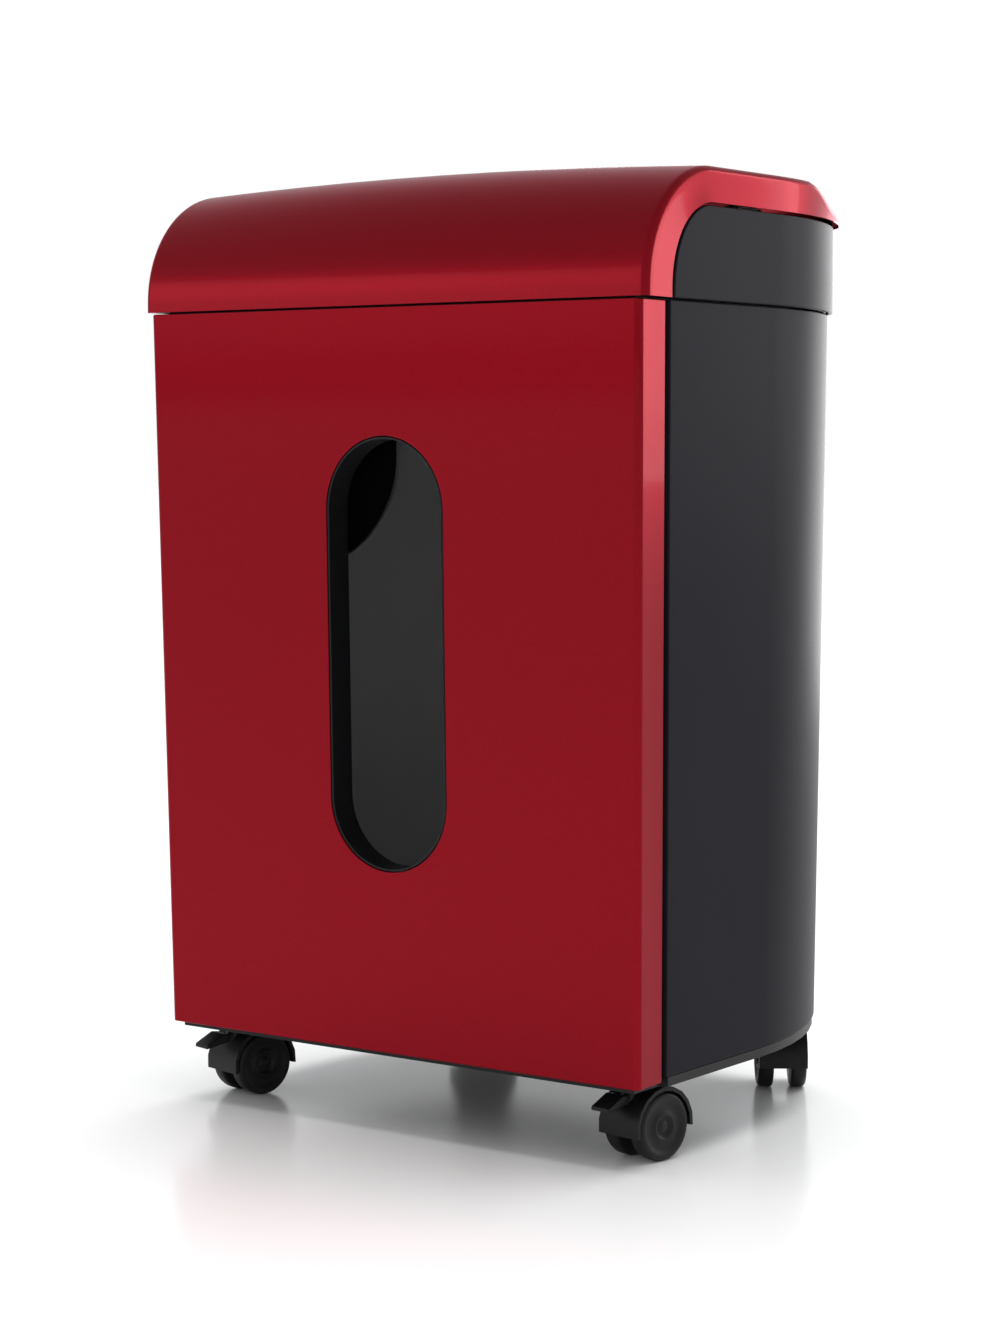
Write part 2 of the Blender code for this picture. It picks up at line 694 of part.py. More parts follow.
def gear_on_shaft(name, gears, shaft, centre, look, steps=16):
    """Gears and their shaft as one body, its origin on the axis."""
    low, high, radius = shaft
    rod = cylinder_mesh(name, ((low + high) / 2, 0, 0), radius, high - low, "X", steps)
    obj = add_part(name, rod, look)
    obj.location = (0, *centre)
    for i, (module, teeth, phase, start, end) in enumerate(gears):
        mesh = outline_mesh(
            name, gear_points(module, teeth, phase), end - start, across_x((start + end) / 2)
        )
        gear = add_cutter("%s_teeth_%d" % (name, i), mesh)
        gear.location = obj.location
        boolean(obj, gear, "UNION")
    return obj


def cutter(name, centre, shift):
    """A cutter drum with its discs, turned in one piece on its shaft."""
    pitch = 2 * (PLATE_X - 5 * MM) / DISC_COUNT
    disc = 7.4 * MM
    end = PLATE_X + PLATE_THICKNESS + 4 * MM
    profile = [(0, GEAR_LOW - MM), (SHAFT_RADIUS, GEAR_LOW - MM)]
    profile += [(SHAFT_RADIUS, PLATE_X - MM), (DRUM_RADIUS, PLATE_X - MM)]
    for i in range(DISC_COUNT):
        middle = ((DISC_COUNT - 1) / 2 - i + shift) * pitch
        for edge in (disc / 2, -disc / 2):
            radii = (DRUM_RADIUS, DISC_RADIUS) if edge > 0 else (DISC_RADIUS, DRUM_RADIUS)
            profile += [(radii[0], middle + edge), (radii[1], middle + edge)]
    profile += [(DRUM_RADIUS, -PLATE_X + MM), (SHAFT_RADIUS, -PLATE_X + MM)]
    profile += [(SHAFT_RADIUS, -end), (0, -end)]
    place = Matrix.Translation((0, *centre)) @ AXES["X"]
    return lathe(name, profile, STEEL, place, steps=12)


def cutting_block():
    shafts = {"cutter_rear": (CUTTER_REAR, 0.25), "cutter_front": (CUTTER_FRONT, -0.25)}
    for name, (centre, shift) in shafts.items():
        cutter(name, centre, shift)
        phase = 0 if name == "cutter_front" else math.pi / CUT_TEETH
        points = gear_points(CUT_MODULE, CUT_TEETH, phase)
        mesh = outline_mesh(
            name, points, GEAR_HIGH - GEAR_LOW, across_x((GEAR_LOW + GEAR_HIGH) / 2)
        )
        gear = add_part(name + "_gear", mesh, NYLON)
        gear.location = (0, *centre)
    # The small gear puts a gap opposite each tooth of the rear cutter's gear along the train angle.
    offset = (TRAIN_ANGLE - math.pi / CUT_TEETH) / (2 * math.pi / CUT_TEETH)
    small = TRAIN_ANGLE + math.pi + (offset + 0.5) * 2 * math.pi / SMALL_TEETH
    gears = [
        (CUT_MODULE, SMALL_TEETH, small, GEAR_LOW, GEAR_HIGH),
        (MOTOR_MODULE, BIG_TEETH, 0, OUTER_LOW, OUTER_HIGH),
    ]
    gear_on_shaft("reduction_gear", gears, (PLATE_X + GAP, OUTER_HIGH + MM, 5 * MM), IDLER, NYLON)
    pinion = [(MOTOR_MODULE, MOTOR_TEETH, math.pi + math.pi / MOTOR_TEETH, OUTER_LOW, OUTER_HIGH)]
    gear_on_shaft("motor_rotor", pinion, (3 * MM, OUTER_HIGH, 3.5 * MM), MOTOR, STEEL)


def side_plates():
    front, back = -66 * MM, 92 * MM
    low, high = 499 * MM, 550.5 * MM
    points = [(front, low), (back, low), (back, 544 * MM), (60 * MM, high), (front, high)]
    short = [(front, low), (44 * MM, low), (44 * MM, high), (front, high)]
    for side, sign in (("left", -1), ("right", 1)):
        x = sign * (PLATE_X + PLATE_THICKNESS / 2)
        outline = points if sign > 0 else short
        mesh = outline_mesh("plate", outline, PLATE_THICKNESS, across_x(x))
        plate = add_part("side_plate_" + side, mesh, STEEL)
        holes = [(CUTTER_REAR, SHAFT_RADIUS), (CUTTER_FRONT, SHAFT_RADIUS)]
        if sign > 0:
            holes += [(IDLER, 5 * MM), (MOTOR, 3.5 * MM)]
        for i, (centre, radius) in enumerate(holes):
            name = "bearing_%s_%d" % (side, i)
            hole = cylinder_mesh(name, (x, *centre), radius * 1.02 + 0.1 * MM, 20 * MM, "X", 24)
            boolean(plate, add_cutter(name, hole))
    for name, y, z in (("tie_rod_front", -60 * MM, 506 * MM), ("tie_rod_rear", 38 * MM, 504.5 * MM)):
        rod = cylinder_mesh(name, (0, y, z), 4 * MM, 2 * (PLATE_X - GAP), "X", 12)
        add_part(name, rod, STEEL)


def strippers():
    pitch = 2 * (PLATE_X - 5 * MM) / DISC_COUNT
    sets = (
        ("stripper_front", CUTTER_FRONT[0], -1, -0.25),
        ("stripper_rear", CUTTER_REAR[0], 1, 0.25),
    )
    for name, y, side, shift in sets:
        far = y + side * (DISC_RADIUS + 7 * MM)
        near = y + side * (DISC_RADIUS + 2 * MM)
        tip = y + side * (DRUM_RADIUS + 1.5 * MM)
        points = [(PLATE_X - GAP, far), (PLATE_X - GAP, near)]
        for i in range(DISC_COUNT - 1):
            middle = ((DISC_COUNT - 1) / 2 - i - 0.5 + shift) * pitch
            tooth = [(3 * MM, near), (3 * MM, tip), (-3 * MM, tip), (-3 * MM, near)]
            points += [(middle + reach, depth) for reach, depth in tooth]
        points += [(-PLATE_X + GAP, near), (-PLATE_X + GAP, far)]
        mesh = outline_mesh(name, points, 6 * MM, Matrix.Translation((0, 0, SHAFT_HEIGHT)))
        add_part(name, mesh, NYLON)


def motor():
    low, high = 14 * MM, 100 * MM
    y, z = MOTOR
    housing = cylinder_mesh("motor_housing", ((low + high) / 2, y, z), 28 * MM, high - low, "X", 28)
    body = add_part("motor_housing", housing, STEEL)
    bore = cylinder_mesh("motor_bore", ((low + high) / 2, y, z), 4 * MM, 2 * (high - low), "X", 16)
    boolean(body, add_cutter("motor_bore", bore))
    floor = HEAD_BOTTOM + 3.8 * MM + GAP
    cradle_low = (low + 12 * MM, y - 24 * MM, floor)
    cradle_high = (high - 12 * MM, y + 24 * MM, z - 14 * MM)
    cradle = add_part("motor_cradle", box_mesh("motor_cradle", cradle_low, cradle_high), BLACK)
    bed = cylinder_mesh("cradle_bed", ((low + high) / 2, y, z), 28.4 * MM, 200 * MM, "X", 28)
    boolean(cradle, add_cutter("cradle_bed", bed))
    hub = cylinder_mesh("motor_fan", (6 * MM, 0, 0), 8 * MM, 6 * MM, "X", 16)
    fan = add_part("motor_fan", hub, NYLON)
    fan.location = (0, y, z)
    for i in range(7):
        blade = box_mesh("blade", (3.5 * MM, 6 * MM, -0.8 * MM), (8.5 * MM, 23 * MM, 0.8 * MM))
        helper = add_cutter("fan_blade_%d" % i, blade)
        turn = Matrix.Rotation(i * 2 * math.pi / 7, 4, "X")
        helper.matrix_world = Matrix.Translation((0, y, z)) @ turn
        boolean(fan, helper, "UNION")
    hole = cylinder_mesh("fan_bore", (6 * MM, y, z), 3.8 * MM, 40 * MM, "X", 16)
    boolean(fan, add_cutter("fan_bore", hole))


def electronics():
    floor = HEAD_BOTTOM + 3.8 * MM
    low = (-112 * MM, 52 * MM, floor + 5 * MM)
    board = box_mesh("circuit_board", low, (-22 * MM, 104 * MM, floor + 6.6 * MM))
    made = add_part("circuit_board", board, GREEN)
    pieces = (
        box_mesh("relay", (-100 * MM, 60 * MM, floor + 6 * MM), (-80 * MM, 76 * MM, floor + 22 * MM)),
        box_mesh("heat_sink", (-70 * MM, 58 * MM, floor + 6 * MM), (-64 * MM, 92 * MM, floor + 26 * MM)),
        cylinder_mesh("capacitor", (-44 * MM, 78 * MM, floor + 16 * MM), 9 * MM, 21 * MM, "Z", 16),
    )
    for i, mesh in enumerate(pieces):
        boolean(made, add_cutter("board_part_%d" % i, mesh), "UNION")
    for i, (x, y) in enumerate(((-108, 56), (-26, 56), (-108, 100), (-26, 100))):
        middle = (x * MM, y * MM, floor + GAP + 2.5 * MM)
        foot = cylinder_mesh("standoff", middle, 2.5 * MM, 5 * MM, "Z", 10)
        boolean(made, add_cutter("standoff_%d" % i, foot), "UNION")


# ---------------------------------------------------------------- casters


def caster(name, x, y, angle):
    place = Matrix.Translation((x, y, 0)) @ Matrix.Rotation(angle, 4, "Z")
    axle = (CASTER_TRAIL, WHEEL_RADIUS)
    outer, inner = WHEEL_RADIUS + 3.6 * MM, WHEEL_RADIUS + 1.2 * MM
    fender = arc(*axle, outer, -5, 190, 10) + arc(*axle, inner, 190, -5, 10)
    span = WHEEL_SPACING + 2 * WHEEL_WIDTH
    hood = add_part("caster_hood_" + name, outline_mesh("hood", fender, span, across_x(0)), BLACK)
    web = arc(*axle, WHEEL_RADIUS + 2 * MM, -5, 190, 8)
    web += [(CASTER_TRAIL - 8 * MM, 13 * MM), (CASTER_TRAIL + 8 * MM, 13 * MM)]
    stem = cylinder_mesh("stem", (0, 0, 42.5 * MM), 5.6 * MM, 17 * MM, "Z", 12)
    hood.matrix_world = place
    joined = (("web", outline_mesh("web", web, WHEEL_SPACING - 2.4 * MM, across_x(0))), ("stem", stem))
    for part, mesh in joined:
        helper = add_cutter("%s_%s" % (part, name), mesh)
        helper.matrix_world = place
        boolean(hood, helper, "UNION")
    hole = cylinder_mesh("axle_hole", (0, *axle), 3.4 * MM, 60 * MM, "X", 12)
    helper = add_cutter("axle_hole_" + name, hole)
    helper.matrix_world = place
    boolean(hood, helper)
    near = WHEEL_SPACING / 2
    far = near + WHEEL_WIDTH
    half = [(0, far - 1.5 * MM), (6 * MM, far - 1.5 * MM), (7 * MM, far)]
    half += [(17 * MM, far), (WHEEL_RADIUS, far - 2 * MM)]
    half += [(WHEEL_RADIUS, near + 1.5 * MM), (18.5 * MM, near), (3 * MM, near)]
    profile = half + [(radius, -height) for radius, height in half[::-1]]
    turned = place @ Matrix.Translation((0, *axle)) @ AXES["X"]
    lathe("caster_wheels_" + name, profile, TREAD, turned)
    if name.startswith("front"):
        pivot = (-10.6 * MM, 38 * MM)
        paddle = [(2, -2.6), (2, 2.4), (-3, 3), (-15, -3), (-15.5, -5.5), (-4, -3.5)]
        paddle = [(y * MM, z * MM) for y, z in paddle]
        mesh = outline_mesh("lever", paddle, 14 * MM, across_x(0))
        lever = add_part("brake_lever_" + name, mesh, BLACK)
        lever.matrix_world = place @ Matrix.Translation((0, *pivot))


def fasteners():
    """Four pan-head screws that hold the back of the cabinet to the base and the head."""
    for i, (x, z) in enumerate(((-80, 70), (80, 70), (-80, 470), (80, 470))):
        point = taper(Vector((x * MM, REAR_Y, z * MM)))
        middle = (x * MM, point.y + 1.2 * MM + GAP, z * MM)
        head = cylinder_mesh("screw", middle, 4 * MM, 2 * MM, "Y", 16)
        add_part("rear_screw_%d" % (i + 1), head, STEEL)


def centre_on_floor():
    """Hangs everything on one empty, so that the origin is under the middle of the overall box."""
    empty = bpy.data.objects.new("shredder_origin", None)
    PARTS.objects.link(empty)
    empty.location = (0, -(FRONT_SEAM + cover_back()) / 2, 0)
    for obj in bpy.data.objects:
        if obj.type == "MESH" and obj.parent is None:
            obj.parent = empty


def main():
    cabinet()
    base()
    bin_front()
    bin_window()
    bin_tub()
    interlock()
    head_deck()
    shell = head_shell()
    head_cover()
    throat()
    controls()
    rear_fittings(shell)
    cutting_block()
    side_plates()
    strippers()
    motor()
    electronics()
    for name, place in CASTERS.items():
        caster(name, *place)
    fasteners()
    centre_on_floor()


main()
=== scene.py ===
"""Looks of the paper shredder: gloss red mouldings, satin charcoal shells and a smoked bin window.

Metres, +Z up, the front faces -Y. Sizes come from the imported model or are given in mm; the lights, the
floor and the camera are placed in metres.
"""

import json
import math

import bmesh
import bpy
from mathutils import Matrix, Vector


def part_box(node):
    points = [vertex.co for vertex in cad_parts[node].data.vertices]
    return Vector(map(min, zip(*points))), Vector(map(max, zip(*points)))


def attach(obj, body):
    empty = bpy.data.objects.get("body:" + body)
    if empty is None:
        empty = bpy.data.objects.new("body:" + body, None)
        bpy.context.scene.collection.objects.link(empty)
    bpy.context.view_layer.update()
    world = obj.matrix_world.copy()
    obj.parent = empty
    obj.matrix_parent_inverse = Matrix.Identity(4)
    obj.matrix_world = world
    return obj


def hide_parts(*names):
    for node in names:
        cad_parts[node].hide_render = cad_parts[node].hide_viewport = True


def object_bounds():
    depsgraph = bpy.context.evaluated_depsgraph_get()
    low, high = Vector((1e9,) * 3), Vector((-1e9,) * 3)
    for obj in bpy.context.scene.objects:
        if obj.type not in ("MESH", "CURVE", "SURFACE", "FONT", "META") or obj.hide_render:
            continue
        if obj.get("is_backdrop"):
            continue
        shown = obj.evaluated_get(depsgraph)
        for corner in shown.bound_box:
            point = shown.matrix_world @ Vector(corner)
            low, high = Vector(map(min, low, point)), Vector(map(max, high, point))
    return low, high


MM = 0.001

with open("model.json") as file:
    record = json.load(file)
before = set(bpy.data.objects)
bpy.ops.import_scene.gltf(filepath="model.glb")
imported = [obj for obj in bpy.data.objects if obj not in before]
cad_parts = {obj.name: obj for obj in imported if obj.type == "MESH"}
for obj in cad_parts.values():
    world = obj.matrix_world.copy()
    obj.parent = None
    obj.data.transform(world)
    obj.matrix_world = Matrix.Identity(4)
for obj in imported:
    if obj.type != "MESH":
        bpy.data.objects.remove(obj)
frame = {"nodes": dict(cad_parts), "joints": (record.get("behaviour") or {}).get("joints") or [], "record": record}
CAD_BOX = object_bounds()
NODES = frame["nodes"]

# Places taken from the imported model.
PANEL_LOW, PANEL_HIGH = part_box("bin_front")
SHELL_LOW, SHELL_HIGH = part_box("head_shell")
BODY_BOTTOM, BODY_TOP = PANEL_LOW.z, PANEL_HIGH.z
HALF_WIDTH = PANEL_HIGH.x
FRONT = PANEL_LOW.y
HEAD_BOTTOM = SHELL_LOW.z
COVER_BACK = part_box("head_cover")[1].y
CABINET_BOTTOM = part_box("cabinet_shell")[0].z

# The plan outline, and how it narrows towards the floor.
SIDE_END = FRONT + 145 * MM
NARROWING = 176.5 / 181.5
FRONT_LEAN = 9 * MM
BACK_RADIUS = 235 * MM
BACK_TURN = math.radians(33)
CORNER_RADIUS = 36 * MM
REAR = SIDE_END + (BACK_RADIUS - CORNER_RADIUS) * math.sin(BACK_TURN) + CORNER_RADIUS
SKIN = 2.5 * MM
PANEL_SKIN = 3 * MM

# The folded strips at the sides of the red mouldings.
STRIP_DEPTH = 29 * MM
STRIP_SLOPE = 1.5 * MM
STRIP_GAP = 2.5 * MM
FOLD_RADIUS = 4 * MM
JAMB = 8 * MM

# The head.
HEAD_OVERHANG = 3 * MM
COVER_TOP = 570 * MM
COVER_CROWN = 4.5 * MM
COVER_LIP = 549.5 * MM
COVER_EDGE = 1.5 * MM
NOSE_RADIUS = 70 * MM
REAR_ROUND = 20 * MM
COVER_RIM = 1.7 * MM
SHELL_TOP = 547.8 * MM

# Where the cover's crown rises and fades, and where its rear rim becomes round.
CROWN_BOTTOM = 520 * MM
CROWN_FADE = SIDE_END + 57 * MM
ROUND_START = SIDE_END + 37 * MM
ROUND_END = SIDE_END + 92 * MM
REAR_ROWS = 45 * MM

# Where the head shell's top edge rises at the back.
UPSTAND_START = REAR - 18 * MM
UPSTAND_END = REAR - 10 * MM

# The window.
WINDOW_HALF_WIDTH = 43.5 * MM
WINDOW_LOW = 159 * MM
WINDOW_HIGH = 418 * MM
WINDOW_DEPTH = 19 * MM
BEZEL_WALL = 1.5 * MM

# The bin tub and its round grip notches.
TUB_INSET = 9 * MM
TUB_GAP = 1.2 * MM
TUB_WALL = 2.2 * MM
NOTCH_HEIGHT = 406 * MM
NOTCH_RADIUS = 73 * MM

# The rib that closes the seam under the head.
RIB_INSET = JAMB + 0.5 * MM
RIB_TOP = HEAD_BOTTOM - 0.1 * MM
RIB_BOTTOM = HEAD_BOTTOM - 5.5 * MM
RIB_WALL = 1.4 * MM

# Top fittings.
BUTTONS = ("power_button", "forward_button", "reverse_button")
BUTTON_GAP = 0.5 * MM
WELL_DEPTH = 5.5 * MM
DISH = 0.7 * MM
RIM_RADIUS = 0.9 * MM
SLOT_MARGIN = 9 * MM
SLOT_HALF_GAP = 3.5 * MM

# Rear fittings.
CORD_BORE = 3.4 * MM
COLLAR_RIBS = 4
COLLAR_GROOVE = 0.9 * MM
SCREW_ROUND = 1.6 * MM
RECESS_REACH = 1.9 * MM
RECESS_HALF_WIDTH = 0.45 * MM
RECESS_DEPTH = 1.1 * MM

# The cutting block's tie rods.
ROD_CHAMFER = 0.5 * MM

# The casters.
WHEEL_RADIUS = 20 * MM
WHEEL_WIDTH = 10 * MM
WHEEL_SPACING = 11 * MM
CASTERS = ("front_left", "front_right", "back_left", "back_right")

# How far sideways a cutter reaches that goes through the whole body.
CUT_REACH = 250 * MM

# Brightness of the surroundings by the height of the direction, from the horizon up.
SKY = ((0.001, 0.8), (0.1, 0.8), (0.3, 0.78), (0.6, 0.74), (0.999, 0.6))

# Each softbox has a place, a target, a width and height, and a power in watts.
SOFTBOXES = {
    "side_strip": ((1.15, 1.95, 0.88), (0, 0, 0.45), (0.35, 1.1), 8),
    "front_left": ((-1.6, -2.05, 0.95), (0, 0, 0.45), (1.5, 0.7), 4.5),
    "back_left": ((-0.6, 2.3, 0.6), (0, 0, 0.35), (1.8, 1.1), 22),
}
FLOOR_RADIUS = 30
FLOOR_SUN = 3.0
SUN_SPREAD = math.radians(50)
SUN_TILT = math.radians(-12)

# The camera: its place, how far it looks down, how far it is turned, and its lens in mm.
CAMERA_PLACE = (1.0754, -1.5135, 0.4113)
CAMERA_DOWN = math.radians(4.26)
CAMERA_TURN = math.radians(36.05)
LENS = 79.5
SENSOR_WIDTH = 36

# The cutting shapes and the finer pieces made below, in order.
CUTTERS = []
PIECES = []


# ---------------------------------------------------------------- materials


def new_material(name, **sockets):
    """A Principled material with constants set on the shader's own sockets."""
    made = bpy.data.materials.new(name)
    made.use_nodes = True
    shader = made.node_tree.nodes["Principled BSDF"]
    for socket, value in sockets.items():
        shader.inputs[socket.replace("_", " ")].default_value = value
    return made, made.node_tree.nodes, made.node_tree.links, shader


def noise(nodes, links, scale, detail=2.0, stretch=None):
    """A noise texture in object space, optionally stretched along the axes."""
    place = nodes.new("ShaderNodeTexCoord")
    texture = nodes.new("ShaderNodeTexNoise")
    texture.inputs["Scale"].default_value = scale
    texture.inputs["Detail"].default_value = detail
    source = place.outputs["Object"]
    if stretch:
        mapping = nodes.new("ShaderNodeMapping")
        mapping.inputs["Scale"].default_value = stretch
        links.new(source, mapping.inputs["Vector"])
        source = mapping.outputs["Vector"]
    links.new(source, texture.inputs["Vector"])
    return texture.outputs["Fac"]


def vary_colour(nodes, links, shader, fac, colour, spread):
    """Base colour that drifts a little lighter and darker."""
    ramp = nodes.new("ShaderNodeValToRGB")
    low, high = ramp.color_ramp.elements
    low.position, high.position = 0.3, 0.7
    low.color = (*[c * (1 - spread) for c in colour], 1)
    high.color = (*[min(c * (1 + spread), 1) for c in colour], 1)
    links.new(fac, ramp.inputs["Fac"])
    links.new(ramp.outputs["Color"], shader.inputs["Base Color"])


def vary_roughness(nodes, links, shader, fac, low, high):
    """Roughness that drifts between two values."""
    remap = nodes.new("ShaderNodeMapRange")
    remap.inputs["To Min"].default_value = low
    remap.inputs["To Max"].default_value = high
    links.new(fac, remap.inputs["Value"])
    links.new(remap.outputs["Result"], shader.inputs["Roughness"])


def add_bump(nodes, links, shader, height, strength, distance):
    """Surface relief from a texture; the distance is its height in metres."""
    bump = nodes.new("ShaderNodeBump")
    bump.inputs["Strength"].default_value = strength
    bump.inputs["Distance"].default_value = distance
    links.new(height, bump.inputs["Height"])
    links.new(bump.outputs["Normal"], shader.inputs["Normal"])
    return bump


def moulded(name, colour, roughness, grain=900, depth=0.25, spread=0.08, **sockets):
    """Moulded plastic: a fine spark-eroded grain, slightly uneven in colour and shine."""
    made, nodes, links, shader = new_material(name, **sockets)
    wide = noise(nodes, links, 9)
    fine = noise(nodes, links, grain, 3.0)
    vary_colour(nodes, links, shader, wide, colour, spread)
    vary_roughness(nodes, links, shader, fine, roughness - 0.06, roughness + 0.06)
    add_bump(nodes, links, shader, fine, depth, 0.1 * MM)
    return made


def lacquered(name, colour, roughness):
    """Red metallic lacquer: tiny flakes under a clear coat with a faint orange peel."""
    made, nodes, links, shader = new_material(
        name,
        Metallic=0.96,
        Specular_Tint=(1.0, 0.72, 0.76, 1.0),
        Coat_Weight=0.08,
        Coat_Roughness=0.06,
        Coat_IOR=1.5,
    )
    flakes = noise(nodes, links, 2600, 1.0)
    wide = noise(nodes, links, 5)
    vary_colour(nodes, links, shader, flakes, colour, 0.16)
    vary_roughness(nodes, links, shader, wide, roughness - 0.03, roughness + 0.03)
    bump = add_bump(nodes, links, shader, flakes, 0.1, 0.05 * MM)
    peel = nodes.new("ShaderNodeBump")
    peel.inputs["Strength"].default_value = 0.04
    peel.inputs["Distance"].default_value = 0.3 * MM
    links.new(noise(nodes, links, 140), peel.inputs["Height"])
    links.new(peel.outputs["Normal"], shader.inputs["Coat Normal"])
    links.new(peel.outputs["Normal"], bump.inputs["Normal"])
    return made


def brushed(name, colour, roughness, stretch):
    """Metal with fine scratches along one direction."""
    made, nodes, links, shader = new_material(name, Metallic=1.0)
    scratches = noise(nodes, links, 1.0, 4.0, stretch)
    vary_colour(nodes, links, shader, scratches, colour, 0.1)
    vary_roughness(nodes, links, shader, scratches, roughness - 0.08, roughness + 0.1)
    add_bump(nodes, links, shader, scratches, 0.15, 0.05 * MM)
    return made


def smoked():
    """Dark see-through plastic with a polished face."""
    made, nodes, links, shader = new_material(
        "smoked_window", Alpha=0.06, IOR=1.49, Specular_IOR_Level=0.08
    )
    wide = noise(nodes, links, 14)
    vary_colour(nodes, links, shader, wide, (0.003, 0.003, 0.0035), 0.15)
    vary_roughness(nodes, links, shader, wide, 0.08, 0.12)
    return made


RED = lacquered("red_lacquer", (0.215, 0.0025, 0.0085), 0.3)
CHARCOAL = moulded("charcoal_plastic", (0.0115, 0.011, 0.0155), 0.38, Specular_IOR_Level=0.04)
BLACK = moulded("black_plastic", (0.006, 0.006, 0.007), 0.42, grain=700, Specular_IOR_Level=0.2)
GREY = moulded("grey_plastic", (0.6, 0.6, 0.61), 0.5, depth=0.15, spread=0.03)
WINDOW = smoked()
TREAD = moulded(
    "tread_plastic", (0.006, 0.006, 0.007), 0.5, grain=500, depth=0.4, Specular_IOR_Level=0.25
)
SILVER = moulded("silver_lacquer", (0.42, 0.43, 0.45), 0.3, grain=2400, depth=0.06, Metallic=0.8)
NYLON = moulded("nylon", (0.62, 0.59, 0.52), 0.45, grain=400, depth=0.1)
BOARD = moulded("solder_mask", (0.012, 0.12, 0.045), 0.35, grain=260, depth=0.3, spread=0.3)
LIGHT = moulded(
    "indicator", (0.02, 0.42, 0.12), 0.2, grain=300, depth=0.05, Transmission_Weight=0.4
)
STEEL = brushed("plated_steel", (0.55, 0.56, 0.58), 0.32, (30, 900, 900))
CUTTER_STEEL = brushed("cutter_steel", (0.4, 0.41, 0.42), 0.36, (1200, 120, 120))

LOOKS = {
    "red_gloss": RED,
    "charcoal": CHARCOAL,
    "black_plastic": BLACK,
    "grey_plastic": GREY,
    "smoked_window": WINDOW,
    "steel": STEEL,
    "cutter_steel": CUTTER_STEEL,
    "nylon": NYLON,
    "button_silver": SILVER,
    "indicator": LIGHT,
    "board": BOARD,
    "tread": TREAD,
}
SLOT_OF = {part["node"]: part["material_slot"] for part in frame["record"]["subparts"]}
BODY_OF = {
    node: body
    for body, members in frame["record"]["behaviour"]["bodies"].items()
    for node in members
}


# ---------------------------------------------------------------- mesh helpers


def mesh_from(bm, name):
    """Turns an edit mesh into a mesh and frees it."""
    mesh = bpy.data.meshes.new(name)
    bm.to_mesh(mesh)
    bm.free()
    return mesh


def link(name, mesh):
    obj = bpy.data.objects.new(name, mesh)
    bpy.context.scene.collection.objects.link(obj)
    return obj


def helper(name, mesh):
    """A shape that only cuts others."""
    obj = link(name, mesh)
    obj.hide_render = True
    obj.hide_viewport = True
    CUTTERS.append(obj)
    return obj


def piece(name, mesh, *nodes):
    """A visible piece that stands for the given CAD nodes and rides on their body."""
    obj = link(name, mesh)
    slot = SLOT_OF[nodes[0]]
    obj.data.materials.clear()
    obj.data.materials.append(LOOKS[slot])
    for polygon in mesh.polygons:
        polygon.use_smooth = True
    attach(obj, BODY_OF[nodes[0]])
    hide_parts(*nodes)
    PIECES.append(obj)
    return obj


def settle():
    """Applies every piece's modifiers, so that its cuts move with it, and drops the cutters."""
    graph = bpy.context.evaluated_depsgraph_get()
    make = bpy.data.meshes.new_from_object
    final = [
        (obj, make(obj.evaluated_get(graph), preserve_all_data_layers=True, depsgraph=graph))
        for obj in PIECES
    ]
    for obj, mesh in final:
        obj.modifiers.clear()
        obj.data = mesh
    for obj in CUTTERS:
        bpy.data.objects.remove(obj)


def thicken(obj, thickness, even=True):
    """Gives a sheet its wall, inwards from the drawn face."""
    solidify = obj.modifiers.new("thickness", "SOLIDIFY")
    solidify.thickness = thickness
    solidify.offset = -1
    solidify.use_even_offset = even
    return obj


def cut(obj, other):
    modifier = obj.modifiers.new("cut_" + other.name, "BOOLEAN")
    modifier.operation = "DIFFERENCE"
    modifier.solver = "EXACT"
    modifier.object = other
    return obj


def round_edges(obj, width, segments=3, angle=40):
    """Rounds the edges that are sharper than an angle in degrees."""
    bevel = obj.modifiers.new("round_edges", "BEVEL")
    bevel.width = width
    bevel.segments = segments
    bevel.limit_method = "ANGLE"
    bevel.angle_limit = math.radians(angle)
    bevel.use_clamp_overlap = True
    weigh = obj.modifiers.new("even_shading", "WEIGHTED_NORMAL")
    weigh.keep_sharp = True
    return obj


def arc(centre_x, centre_y, radius, start, end, count):
    """Points on an arc, angles in degrees."""
    angles = [math.radians(start + (end - start) * i / count) for i in range(count + 1)]
    return [(centre_x + radius * math.cos(a), centre_y + radius * math.sin(a)) for a in angles]


def circle(centre_x, centre_y, radius, sides=48):
    return arc(centre_x, centre_y, radius, 0, 360, sides)[:-1]


def in_plan(x, y, z):
    """Places an outline that is drawn from above."""
    return (x, y, z)


def in_side_view(y, z, x):
    """Places an outline that is drawn from the side."""
    return (x, y, z)


def in_front_view(x, z, y):
    """Places an outline that is drawn from the front."""
    return (x, y, z)


def prism(points, low, high, place):
    """A closed mesh from an outline extruded from low to high; place maps (u, v, w) to space."""
    bm = bmesh.new()
    ends = [[bm.verts.new(place(u, v, w)) for u, v in points] for w in (low, high)]
    count = len(points)
    for i in range(count):
        j = (i + 1) % count
        bm.faces.new((ends[0][i], ends[0][j], ends[1][j], ends[1][i]))
    bm.faces.new(ends[0])
    bm.faces.new(ends[1])
    bmesh.ops.recalc_face_normals(bm, faces=bm.faces)
    return bm


def box_mesh(name, low, high):
    corners = [(low[0], low[1]), (high[0], low[1]), (high[0], high[1]), (low[0], high[1])]
    return mesh_from(prism(corners, low[2], high[2], in_plan), name)


